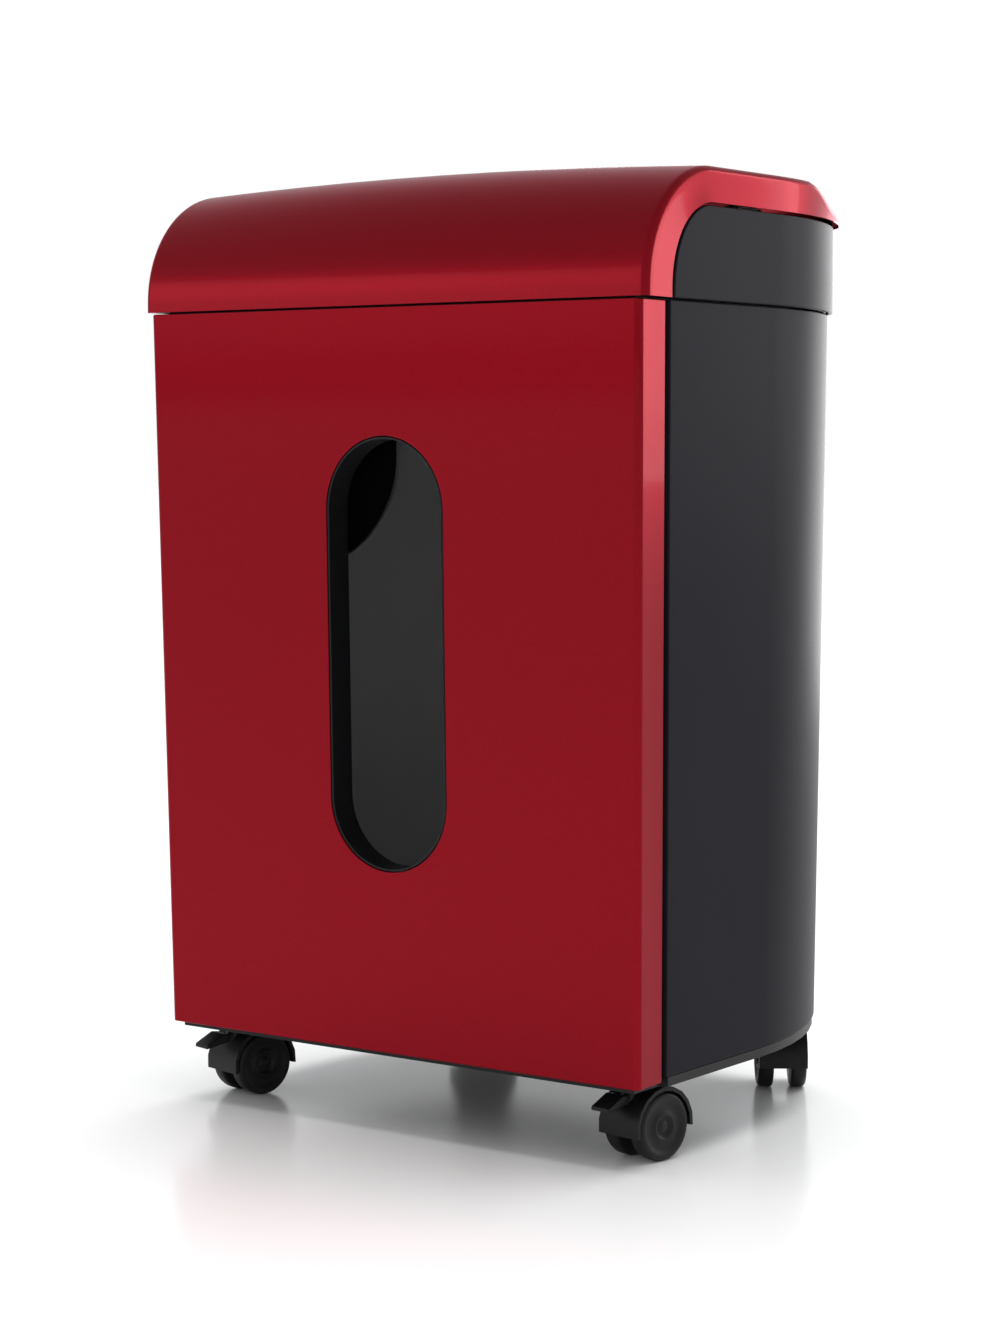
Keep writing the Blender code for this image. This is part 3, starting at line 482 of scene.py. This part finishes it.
def refine(node, width, angle=40):
    """A copy of a CAD node with its hard edges rounded."""
    bm = bmesh.new()
    bm.from_mesh(NODES[node].data)
    bmesh.ops.remove_doubles(bm, verts=bm.verts, dist=1e-6)
    bmesh.ops.dissolve_limit(
        bm, angle_limit=math.radians(1), verts=bm.verts, edges=bm.edges, delimit={"NORMAL"}
    )
    obj = piece(node + "_fine", mesh_from(bm, node), node)
    return round_edges(obj, width, angle=angle)


# ---------------------------------------------------------------- outline and walls


def half_outline(inset=0.0, side=22, corner_steps=14):
    """Right half of the plan outline at the seam, from the side's end to the back's middle."""
    half = HALF_WIDTH - inset
    radius = BACK_RADIUS - inset
    corner = CORNER_RADIUS - inset
    turn = math.degrees(BACK_TURN)
    swing = arc(half - radius, SIDE_END, radius, 0, turn, side)
    end_x, end_y = swing[-1]
    corner_x = end_x - corner * math.cos(BACK_TURN)
    corner_y = end_y - corner * math.sin(BACK_TURN)
    return swing + arc(corner_x, corner_y, corner, turn, 90, corner_steps)[1:]


def full_outline(inset, start):
    """An open plan path from the left front edge, at y = start, round the back to the right one."""
    right = half_outline(inset)
    left = [(-x, y) for x, y in right]
    side = HALF_WIDTH - inset
    return [(-side, start)] + left + right[::-1] + [(side, start)]


def taper(point):
    """Takes a point drawn at the seam to the body's narrower plan at its own height."""
    down = (BODY_TOP - point.z) / (BODY_TOP - BODY_BOTTOM)
    narrow = 1 - down * (1 - NARROWING)
    depth = FRONT - SIDE_END
    lean = 1 + down * FRONT_LEAN / depth
    y_scale = lean if point.y < SIDE_END else narrow
    return Vector((point.x * narrow, SIDE_END + (point.y - SIDE_END) * y_scale, point.z))


def front_y(z):
    """Where the leaning front face is at a height."""
    return taper(Vector((0, FRONT, z))).y


def wall_mesh(name, path, levels, shape=None):
    """A sheet wall that stands on a plan path, facing outwards."""
    bm = bmesh.new()
    rows = [[bm.verts.new((x, y, z)) for x, y in path] for z in levels]
    for lower, upper in zip(rows, rows[1:]):
        for i in range(len(path) - 1):
            bm.faces.new((lower[i], lower[i + 1], upper[i + 1], upper[i]))
    if shape:
        for vert in bm.verts:
            vert.co = shape(vert.co)
    bmesh.ops.recalc_face_normals(bm, faces=bm.faces)
    return mesh_from(bm, name)


def evenly(low, high, count):
    """Evenly spaced values from low to high, in count steps."""
    return [low + (high - low) * i / count for i in range(count + 1)]


# ---------------------------------------------------------------- red mouldings


def nose_profile(inset, top_inset, back, count=28):
    """Side view of the head in (y, z): up the front, round the nose and back along the top."""
    centre_y = FRONT + NOSE_RADIUS
    centre_z = COVER_TOP - NOSE_RADIUS
    points = [(FRONT + inset, HEAD_BOTTOM)]
    for i in range(count + 1):
        angle = math.radians(180 - 90 * i / count)
        y = centre_y + (NOSE_RADIUS - inset) * math.cos(angle)
        points.append((y, centre_z + (NOSE_RADIUS - top_inset) * math.sin(angle)))
    return points + [(back, COVER_TOP - top_inset)]


def smooth(value, low, high):
    """Rises from 0 at low to 1 at high without a corner."""
    t = min(max((value - low) / (high - low), 0), 1)
    return t * t * (3 - 2 * t)


def cover_half_width(y):
    """Half width of the cover at a place along the depth."""
    reach = HEAD_OVERHANG + COVER_EDGE
    half = HALF_WIDTH + reach
    if y <= SIDE_END:
        return half
    stretch = (COVER_BACK - SIDE_END) / (REAR + reach - SIDE_END)
    y = SIDE_END + (y - SIDE_END) / stretch
    radius = BACK_RADIUS + reach
    end = SIDE_END + radius * math.sin(BACK_TURN)
    if y <= end:
        return half - radius + math.sqrt(radius**2 - (y - SIDE_END) ** 2)
    corner = CORNER_RADIUS + reach
    corner_x = half - radius + (radius - corner) * math.cos(BACK_TURN)
    corner_y = SIDE_END + (radius - corner) * math.sin(BACK_TURN)
    return corner_x + math.sqrt(max(corner**2 - (y - corner_y) ** 2, 0))


def drop(distance, radius):
    """How far a round edge falls below the flat, at a distance in from the rim."""
    if distance >= radius:
        return 0
    return radius - math.sqrt(radius**2 - (radius - distance) ** 2)


def cover_rows():
    """(outer y, z, inner y, z) for each row of the cover, from the front's foot back."""
    outer = nose_profile(0, 0, SIDE_END)
    inner = nose_profile(STRIP_DEPTH, COVER_TOP - COVER_LIP, SIDE_END)
    rows = [(*a, *b) for a, b in zip(outer, inner)]
    turn = COVER_BACK - REAR_ROWS
    depths = evenly(SIDE_END, turn, 9)[1:]
    depths += [turn + REAR_ROWS * math.sin(math.radians(a)) for a in range(8, 89, 8)]
    depths.append(COVER_BACK - 0.02 * MM)
    return rows + [(y, COVER_TOP, y, COVER_LIP) for y in depths]


def cover_section(half, slope, depth):
    """(x, depth below the outer face) across the right half, from the middle to the strip's foot."""
    level = half - FOLD_RADIUS
    across = [(level * t, 0) for t in (0, 0.2, 0.4, 0.6, 0.75, 0.85, 0.9, 0.93, 0.96, 0.98)]
    fold = [
        (level + FOLD_RADIUS * math.sin(a), FOLD_RADIUS * (1 - math.cos(a)))
        for a in (math.radians(15 * i) for i in range(7))
    ]
    strip = [
        (half - slope * t, FOLD_RADIUS + (depth - FOLD_RADIUS) * t)
        for t in (0.2, 0.4, 0.6, 0.8, 1)
    ]
    return across + fold + strip


def cover_point(x, down, row, half):
    """Where a point of the section lies in space, with the crown and the rounded rear rim."""
    y, z, inner_y, inner_z = row
    depth = math.hypot(inner_y - y, inner_z - z)
    share = down / depth
    crown = COVER_CROWN * (1 - (x / half) ** 2) * smooth(z, CROWN_BOTTOM, COVER_TOP)
    crown *= 1 - smooth(y, CROWN_FADE, COVER_BACK)
    behind = smooth(y, ROUND_START, ROUND_END)
    fall = behind * drop(half - abs(x), REAR_ROUND)
    fall = max(fall, drop(COVER_BACK - y, REAR_ROUND)) if y > SIDE_END else 0
    height = z + (inner_z - z) * share + (crown - fall) * (1 - share)
    if y > SIDE_END:
        height = max(height, COVER_LIP + COVER_RIM * (1 - share))
    return Vector((x, y + (inner_y - y) * share, height))


def head_cover():
    bm = bmesh.new()
    grid = []
    for row in cover_rows():
        half = cover_half_width(row[0])
        slope = STRIP_SLOPE * (1 - smooth(row[0], FRONT, FRONT + NOSE_RADIUS)) + 0.3 * MM
        depth = math.hypot(row[2] - row[0], row[3] - row[1])
        right = cover_section(half, slope, depth)
        section = [(-x, down) for x, down in right[:0:-1]] + right
        grid.append([bm.verts.new(cover_point(x, down, row, half)) for x, down in section])
    for near, far in zip(grid, grid[1:]):
        for i in range(len(near) - 1):
            bm.faces.new((near[i], near[i + 1], far[i + 1], far[i]))
    bmesh.ops.recalc_face_normals(bm, faces=bm.faces)
    cover = piece("head_cover_fine", mesh_from(bm, "head_cover"), "head_cover")
    thicken(cover, SKIN, even=False)
    for node in ("paper_throat", "control_panel"):
        low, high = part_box(node)
        grow = Vector((0.4 * MM, 0.4 * MM, 20 * MM))
        cut(cover, helper(node + "_hole", box_mesh(node, low - grow, high + grow)))
    return round_edges(cover, 0.6 * MM, segments=2, angle=55)


def bin_front():
    back = FRONT + STRIP_DEPTH
    slant = math.degrees(math.atan2(STRIP_SLOPE, STRIP_DEPTH))
    fold = arc(HALF_WIDTH - FOLD_RADIUS, FRONT + FOLD_RADIUS, FOLD_RADIUS, -90, slant, 8)
    strip = [(HALF_WIDTH - STRIP_SLOPE * t, FRONT + STRIP_DEPTH * t) for t in (0.4, 0.7)]
    right = [(0, FRONT)] + fold + strip + [(HALF_WIDTH - STRIP_SLOPE, back)]
    path = [(-x, y) for x, y in right[:0:-1]] + right[1:]
    mesh = wall_mesh("bin_front", path, [BODY_BOTTOM, BODY_TOP], taper)
    panel = thicken(piece("bin_front_fine", mesh, "bin_front"), PANEL_SKIN)
    cut(panel, helper("window_hole", window_prism(0, -10 * MM, 10 * MM)))
    return round_edges(panel, 0.9 * MM, angle=50)


def stadium(half_width, low, high, count=32):
    """A vertical slot outline with round ends, in (x, z)."""
    top = arc(0, high - half_width, half_width, 0, 180, count)
    bottom = arc(0, low + half_width, half_width, 180, 360, count)
    return top + bottom


def window_prism(inset, near, far):
    """A window-shaped prism along the leaning front, from near to far behind the face."""
    points = stadium(WINDOW_HALF_WIDTH - inset, WINDOW_LOW + inset, WINDOW_HIGH - inset)
    bm = prism(points, near, far, lambda x, z, y: (x, front_y(z) + y, z))
    return mesh_from(bm, "window_prism")


def window():
    lip = 0.3 * MM
    bezel = piece("window_bezel_fine", window_prism(lip, 0.4 * MM, WINDOW_DEPTH), "window_bezel")
    bore = window_prism(lip + BEZEL_WALL, -5 * MM, WINDOW_DEPTH + 5 * MM)
    cut(bezel, helper("window_bore", bore))
    round_edges(bezel, 0.8 * MM, angle=50)
    pane = window_prism(lip + BEZEL_WALL + 0.3 * MM, WINDOW_DEPTH - 3 * MM, WINDOW_DEPTH - MM)
    lens = piece("window_lens_fine", pane, "window_lens")
    round_edges(lens, 0.4 * MM, segments=2, angle=50)


# ---------------------------------------------------------------- charcoal shells


def cabinet():
    front = FRONT + STRIP_DEPTH + STRIP_GAP
    jamb = HALF_WIDTH - JAMB
    path = [(-jamb, front), *full_outline(0, front), (jamb, front)]
    levels = [CABINET_BOTTOM, BODY_TOP]
    shell = piece("cabinet_fine", wall_mesh("cabinet", path, levels, taper), "cabinet_shell")
    thicken(shell, SKIN)
    round_edges(shell, 0.8 * MM, angle=50)


def rear_upstand(point):
    """Raises the shell's top edge at the back, where the cover hangs over it."""
    rise = smooth(point.y, UPSTAND_START, UPSTAND_END)
    if point.z < SHELL_TOP - 0.1 * MM:
        return point
    return Vector((point.x, point.y, SHELL_TOP + (SHELL_HIGH.z - SHELL_TOP) * rise))


def head_shell():
    path = full_outline(-HEAD_OVERHANG, FRONT + STRIP_DEPTH + STRIP_GAP)
    mesh = wall_mesh("head_shell", path, [HEAD_BOTTOM, SHELL_TOP], rear_upstand)
    shell = piece("head_shell_fine", mesh, "head_shell")
    thicken(shell, SKIN)
    side = nose_profile(STRIP_DEPTH + STRIP_GAP, COVER_TOP - SHELL_TOP, SIDE_END)
    above, ahead, below = COVER_TOP + 70 * MM, FRONT - 60 * MM, HEAD_BOTTOM - 90 * MM
    points = [(side[0][0], below)] + side[1:] + [(SIDE_END, above), (ahead, above), (ahead, below)]
    nose = prism(points, -CUT_REACH, CUT_REACH, in_side_view)
    cut(shell, helper("nose_cut", mesh_from(nose, "nose_cut")))
    grow = Vector((0.3 * MM, 12 * MM, 0.3 * MM))
    for node in ("rear_grille", "switch_bezel"):
        low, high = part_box(node)
        cut(shell, helper(node + "_hole", box_mesh(node, low - grow, high + grow)))
    low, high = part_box("cord_gland")
    middle = (low + high) / 2
    ring = circle(middle.x, middle.z, (high.x - low.x) / 2 + grow.x)
    hole = prism(ring, low.y - grow.y, high.y + grow.y, in_front_view)
    cut(shell, helper("gland_hole", mesh_from(hole, "gland_hole")))
    round_edges(shell, 0.7 * MM, angle=50)


def seam_rib():
    """The head's locating rib, which stands inside the cabinet and closes the seam."""
    path = full_outline(RIB_INSET, FRONT + RIB_INSET)
    mesh = wall_mesh("seam_rib", path + path[:1], [RIB_BOTTOM, RIB_TOP])
    rib = link("seam_rib", mesh)
    rib.data.materials.append(BLACK)
    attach(rib, BODY_OF["head_shell"])
    PIECES.append(rib)
    thicken(rib, RIB_WALL)


# ---------------------------------------------------------------- bin, base and inner pieces


def bin_tub():
    """The bin behind the front panel, with a closed bottom and an open top."""
    low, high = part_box("bin_tub")
    path = full_outline(TUB_INSET, FRONT + PANEL_SKIN + TUB_GAP)
    mesh = wall_mesh("bin_tub", path + path[:1], evenly(low.z, high.z, 3), taper)
    bm = bmesh.new()
    bm.from_mesh(mesh)
    bmesh.ops.remove_doubles(bm, verts=bm.verts, dist=1e-6)
    ring = [edge for edge in bm.edges if edge.is_boundary and edge.verts[0].co.z < low.z + MM]
    bmesh.ops.contextual_create(bm, geom=ring)
    bmesh.ops.recalc_face_normals(bm, faces=bm.faces)
    bm.to_mesh(mesh)
    bm.free()
    tub = thicken(piece("bin_tub_fine", mesh, "bin_tub"), TUB_WALL)
    cut(tub, helper("tub_hole", window_prism(-MM, -5 * MM, 20 * MM)))
    middle = SIDE_END + MM
    left, right = middle - NOTCH_RADIUS, middle + NOTCH_RADIUS
    top = high.z + 20 * MM
    notch = arc(middle, NOTCH_HEIGHT, NOTCH_RADIUS, 180, 360, 32) + [(right, top), (left, top)]
    bm = prism(notch, -CUT_REACH, CUT_REACH, in_side_view)
    cut(tub, helper("grip_notch", mesh_from(bm, "grip_notch")))
    round_edges(tub, 0.6 * MM, segments=2, angle=50)


# Rounding width in mm for the CAD nodes whose shape only needs softer edges.
SOFTENED = {
    "base_plate": 0.8,
    "bin_magnet": 0.5,
    "bin_rail_left": 0.8,
    "bin_rail_right": 0.8,
    "interlock_switch": 0.8,
    "head_deck": 0.5,
    "led_lens": 0.8,
    "rear_grille": 0.5,
    "switch_bezel": 0.9,
    "rocker_switch": 0.7,
    "side_plate_left": 0.4,
    "side_plate_right": 0.4,
    "stripper_front": 0.5,
    "stripper_rear": 0.5,
    "motor_cradle": 0.8,
    "circuit_board": 0.3,
    "cutter_front_gear": 0.25,
    "cutter_rear_gear": 0.25,
    "reduction_gear": 0.25,
    "motor_fan": 0.3,
}


def softened_nodes():
    for node, width in SOFTENED.items():
        refine(node, width * MM)


# ---------------------------------------------------------------- top fittings


def rounded_plate(low, high, corner, steps=8):
    """Outline of a rectangle in plan with rounded corners."""
    points = []
    quarters = ((high.x, high.y, 0), (low.x, high.y, 90), (low.x, low.y, 180), (high.x, low.y, 270))
    for x, y, start in quarters:
        centre_x = x - corner if x == high.x else x + corner
        centre_y = y - corner if y == high.y else y + corner
        points += arc(centre_x, centre_y, corner, start, start + 90, steps)
    return points


def paper_throat():
    """The black frame round the paper slot, with a lead-in that narrows towards the cutters."""
    low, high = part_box("paper_throat")
    mesh = mesh_from(prism(rounded_plate(low, high, 3 * MM), low.z, high.z, in_plan), "throat")
    throat = piece("paper_throat_fine", mesh, "paper_throat")
    middle = (low + high) / 2
    slot_x, slot_y = (high.x - low.x) / 2 - SLOT_MARGIN, SLOT_HALF_GAP
    bm = bmesh.new()
    rings = []
    levels = ((low.z - 5 * MM, 0), (high.z - 8 * MM, 0), (high.z - 2.5 * MM, 1.5 * MM))
    for z, grow in levels + ((high.z + 0.5 * MM, 5.5 * MM),):
        reach_x, reach_y = slot_x + grow, slot_y + grow
        corners = ((1, 1), (-1, 1), (-1, -1), (1, -1))
        ring = [(middle.x + reach_x * i, middle.y + reach_y * j, z) for i, j in corners]
        rings.append([bm.verts.new(corner) for corner in ring])
    for lower, upper in zip(rings, rings[1:]):
        for i in range(4):
            j = (i + 1) % 4
            bm.faces.new((lower[i], lower[j], upper[j], upper[i]))
    bm.faces.new(rings[0])
    bm.faces.new(rings[-1])
    bmesh.ops.recalc_face_normals(bm, faces=bm.faces)
    cut(throat, helper("slot_cut", mesh_from(bm, "slot_cut")))
    round_edges(throat, 0.7 * MM, angle=30)


def control_panel():
    """The panel with a well for each button and a pocket for the lamp."""
    low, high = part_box("control_panel")
    mesh = mesh_from(prism(rounded_plate(low, high, 5 * MM), low.z, high.z, in_plan), "panel")
    panel = piece("control_panel_fine", mesh, "control_panel")
    for node in BUTTONS:
        box_low, box_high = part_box(node)
        centre = (box_low + box_high) / 2
        ring = circle(centre.x, centre.y, (box_high.x - box_low.x) / 2 + BUTTON_GAP)
        well = prism(ring, high.z - WELL_DEPTH, 1, in_plan)
        cut(panel, helper(node + "_well", mesh_from(well, "well")))
    grow = Vector((0.3, 0.3, 0.3)) * MM
    box_low, box_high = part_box("led_lens")
    pocket = box_mesh("led_pocket", box_low - grow, box_high + grow * 8)
    cut(panel, helper("led_pocket", pocket))
    round_edges(panel, 0.6 * MM, angle=50)


def turned(name, profile, place, steps, *nodes):
    """A piece turned about its own axis from (radius, height) points."""
    bm = bmesh.new()
    rings = []
    for radius, height in profile:
        if radius < 1e-7:
            rings.append([bm.verts.new(place @ Vector((0, 0, height)))])
            continue
        angles = [2 * math.pi * i / steps for i in range(steps)]
        around = [(radius * math.cos(a), radius * math.sin(a), height) for a in angles]
        rings.append([bm.verts.new(place @ Vector(point)) for point in around])
    for upper, lower in zip(rings, rings[1:]):
        for i in range(steps):
            j = (i + 1) % steps
            face = [upper[i % len(upper)], upper[j % len(upper)]]
            face += [lower[j % len(lower)], lower[i % len(lower)]]
            corners = list(dict.fromkeys(face))
            if len(corners) > 2:
                bm.faces.new(corners)
    bmesh.ops.recalc_face_normals(bm, faces=bm.faces)
    return piece(name, mesh_from(bm, name), *nodes)


def buttons():
    """Silver caps with a dished top and a rounded rim."""
    for node in BUTTONS:
        low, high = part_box(node)
        radius = (high.x - low.x) / 2
        height = high.z - low.z
        profile = [(0, height - DISH)]
        profile += [(radius * t, height - DISH * (1 - t * t)) for t in (0.25, 0.5, 0.7)]
        rim = arc(radius - RIM_RADIUS, height - RIM_RADIUS, RIM_RADIUS, 80, 0, 5)
        profile += rim + [(radius, 0.3 * MM), (radius - 0.3 * MM, 0), (0, 0)]
        place = Matrix.Translation(((low.x + high.x) / 2, (low.y + high.y) / 2, low.z))
        turned(node + "_fine", profile, place, 48, node)


# ---------------------------------------------------------------- rear fittings


def rear_place(node):
    """Turns a piece's own axis to point out of the back, at the middle of a node's rear face."""
    low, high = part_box(node)
    middle = (low + high) / 2
    return Matrix.Translation((middle.x, low.y, middle.z)) @ Matrix.Rotation(-math.pi / 2, 4, "X")


def cord_gland():
    """A ribbed collar round the cord's outlet."""
    low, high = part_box("cord_gland")
    radius, length = (high.x - low.x) / 2, high.y - low.y
    groove = radius - COLLAR_GROOVE
    profile = [(CORD_BORE, 0), (radius, 0)]
    rib = 0.45 * length / COLLAR_RIBS
    for i in range(COLLAR_RIBS):
        start = 0.5 * length + i * rib
        profile += [(radius, start), (radius, start + rib * 0.5)]
        profile += [(groove, start + rib * 0.6), (groove, start + rib * 0.95)]
    profile += arc(radius - MM, length - MM, MM, 0, 80, 4)
    profile += [(CORD_BORE + 0.5 * MM, length), (CORD_BORE, length - 0.6 * MM), (CORD_BORE, 0)]
    turned("cord_gland_fine", profile, rear_place("cord_gland"), 48, "cord_gland")


def rear_screws():
    """Pan-head screws with a cross recess."""
    for i in range(1, 5):
        node = "rear_screw_%d" % i
        low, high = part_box(node)
        radius, height = (high.x - low.x) / 2, high.y - low.y
        profile = [(0, height)]
        profile += arc(radius - SCREW_ROUND, height - SCREW_ROUND, SCREW_ROUND, 90, 0, 6)
        profile += [(radius, 0.15 * MM), (radius, 0), (0, 0)]
        place = rear_place(node)
        screw = turned(node + "_fine", profile, place, 36, node)
        arms = ((RECESS_REACH, RECESS_HALF_WIDTH), (RECESS_HALF_WIDTH, RECESS_REACH))
        for j, (x, y) in enumerate(arms):
            bm = prism(
                [(-x, -y), (x, -y), (x, y), (-x, y)],
                height - RECESS_DEPTH,
                height + MM,
                lambda u, v, w, place=place: place @ Vector((u, v, w)),
            )
            cut(screw, helper("recess_%d_%d" % (i, j), mesh_from(bm, "recess")))


# ---------------------------------------------------------------- cutting block


def tie_rods():
    """Two rods along X with chamfered ends."""
    for node in ("tie_rod_front", "tie_rod_rear"):
        low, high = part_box(node)
        radius, length = (high.z - low.z) / 2, high.x - low.x
        middle = (low + high) / 2
        along_x = Matrix.Rotation(math.pi / 2, 4, "Y")
        place = Matrix.Translation((low.x, middle.y, middle.z)) @ along_x
        inner, far = radius - ROD_CHAMFER, length - ROD_CHAMFER
        profile = [(0, 0), (inner, 0), (radius, ROD_CHAMFER), (radius, far)]
        profile += [(inner, length), (0, length)]
        turned(node + "_fine", profile, place, 32, node)


# ---------------------------------------------------------------- casters


def joint(name):
    """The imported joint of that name."""
    return next(j for j in frame["joints"] if j["name"] == name)


def wheel_place(name):
    """Puts a wheel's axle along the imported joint's axis."""
    roll = joint("wheels_" + name + "_roll")
    axis = Vector(roll["axis"])
    along = axis.to_track_quat("Z", "Y").to_matrix().to_4x4()
    return Matrix.Translation(roll["pos_m"]) @ along


def caster_wheels(name):
    """Twin wheels with crowned treads and dished faces on one hub."""
    near, far = WHEEL_SPACING / 2, WHEEL_SPACING / 2 + WHEEL_WIDTH
    # One wheel as (radius, place along the axle): the hub cap, the dished face and its raised edge.
    half = [(0, far - 1.2 * MM), (3.2 * MM, far - 1.2 * MM), (4 * MM, far - 2 * MM)]
    half += [(6 * MM, far - 2 * MM), (6.6 * MM, far - 0.6 * MM), (8 * MM, far - 0.4 * MM)]
    half += [(9 * MM, far - 1.4 * MM), (14 * MM, far - 1.6 * MM), (15.5 * MM, far - 0.3 * MM)]
    rim = arc(WHEEL_RADIUS - 2.6 * MM, far - 2.6 * MM, 2.6 * MM, 90, 8, 7)
    crown = [(WHEEL_RADIUS, far - WHEEL_WIDTH / 2)]
    inner = arc(WHEEL_RADIUS - 2 * MM, near + 2 * MM, 2 * MM, -8, -90, 6)
    half += rim + crown + inner + [(3.1 * MM, near)]
    profile = half + [(radius, -height) for radius, height in half[::-1]]
    node = "caster_wheels_" + name
    turned(node + "_fine", profile, wheel_place(name), 72, node)


def caster(name):
    caster_wheels(name)
    refine("caster_hood_" + name, 0.9 * MM)
    if "brake_lever_" + name in NODES:
        refine("brake_lever_" + name, 0.9 * MM, angle=30)


# ---------------------------------------------------------------- stage


def keep_off_floor(lights, ground):
    """Leaves the floor out of these lights."""
    unlit = bpy.data.collections.new("unlit_by_softboxes")
    unlit.objects.link(ground)
    unlit.collection_objects[0].light_linking.link_state = "EXCLUDE"
    for light in lights:
        light.light_linking.receiver_collection = unlit


def softbox(name, place, target, size, power):
    """A rectangular white light that the camera doesn't see."""
    light = bpy.data.lights.new(name, "AREA")
    light.shape = "RECTANGLE"
    light.size, light.size_y = size
    light.energy = power
    obj = link(name, light)
    obj.location = place
    obj.rotation_euler = (Vector(target) - Vector(place)).to_track_quat("-Z", "Y").to_euler()
    obj.visible_camera = False


def studio():
    """White surroundings for the camera; the light comes mostly from the horizon."""
    world = bpy.data.worlds.new("studio")
    bpy.context.scene.world = world
    world.use_nodes = True
    nodes, links = world.node_tree.nodes, world.node_tree.links
    seen = nodes["Background"]
    seen.inputs["Color"].default_value = (1, 1, 1, 1)
    seen.inputs["Strength"].default_value = 1.0
    place = nodes.new("ShaderNodeTexCoord")
    split = nodes.new("ShaderNodeSeparateXYZ")
    links.new(place.outputs["Generated"], split.inputs["Vector"])
    ramp = nodes.new("ShaderNodeValToRGB")
    for height, level in SKY:
        step = ramp.color_ramp.elements.new(height)
        step.color = (level * 0.98, level * 0.99, level, 1)
    links.new(split.outputs["Z"], ramp.inputs["Fac"])
    sky = nodes.new("ShaderNodeBackground")
    links.new(ramp.outputs["Color"], sky.inputs["Color"])
    path = nodes.new("ShaderNodeLightPath")
    mix = nodes.new("ShaderNodeMixShader")
    links.new(path.outputs["Is Camera Ray"], mix.inputs["Fac"])
    links.new(sky.outputs["Background"], mix.inputs[1])
    links.new(seen.outputs["Background"], mix.inputs[2])
    links.new(mix.outputs["Shader"], nodes["World Output"].inputs["Surface"])

    for name, (place, target, size, power) in SOFTBOXES.items():
        softbox(name, place, target, size, power)


def floor():
    """Polished white sweep under the shredder, with a wide overhead light of its own."""
    made, nodes, links, shader = new_material("floor", Specular_IOR_Level=0.85)
    wide = noise(nodes, links, 0.8)
    vary_colour(nodes, links, shader, wide, (0.92, 0.92, 0.92), 0.01)
    vary_roughness(nodes, links, shader, wide, 0.17, 0.2)
    bm = bmesh.new()
    bmesh.ops.create_circle(bm, cap_ends=True, segments=96, radius=FLOOR_RADIUS)
    ground = link("floor", mesh_from(bm, "floor"))
    ground.data.materials.append(made)
    ground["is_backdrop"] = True

    sun = bpy.data.lights.new("overhead", "SUN")
    sun.energy = FLOOR_SUN
    sun.angle = SUN_SPREAD
    lamp = link("overhead", sun)
    lamp.rotation_euler = (SUN_TILT, 0, 0)
    lit = bpy.data.collections.new("lit_by_overhead")
    lit.objects.link(ground)
    lamp.light_linking.receiver_collection = lit
    keep_off_floor([bpy.data.objects[name] for name in SOFTBOXES], ground)


def camera():
    data = bpy.data.cameras.new("camera")
    data.lens = LENS
    data.sensor_width = SENSOR_WIDTH
    obj = link("camera", data)
    obj.location = CAMERA_PLACE
    obj.rotation_euler = (math.pi / 2 - CAMERA_DOWN, 0, CAMERA_TURN)
    bpy.context.scene.camera = obj


def carried_over():
    """CAD nodes that stay as they are get their slot's material."""
    for name, obj in NODES.items():
        if obj.hide_render:
            continue
        obj.data.materials.clear()
        obj.data.materials.append(LOOKS[SLOT_OF[name]])


def main():
    scene = bpy.context.scene
    scene.view_settings.view_transform = "Standard"
    camera()
    studio()
    floor()
    head_cover()
    bin_front()
    window()
    cabinet()
    head_shell()
    seam_rib()
    bin_tub()
    softened_nodes()
    paper_throat()
    control_panel()
    buttons()
    cord_gland()
    rear_screws()
    tie_rods()
    for name in CASTERS:
        caster(name)
    carried_over()
    settle()
    sizes = {"cad": CAD_BOX, "visual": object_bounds()}
    sizes = {name: [list(corner) for corner in box] for name, box in sizes.items()}


main()
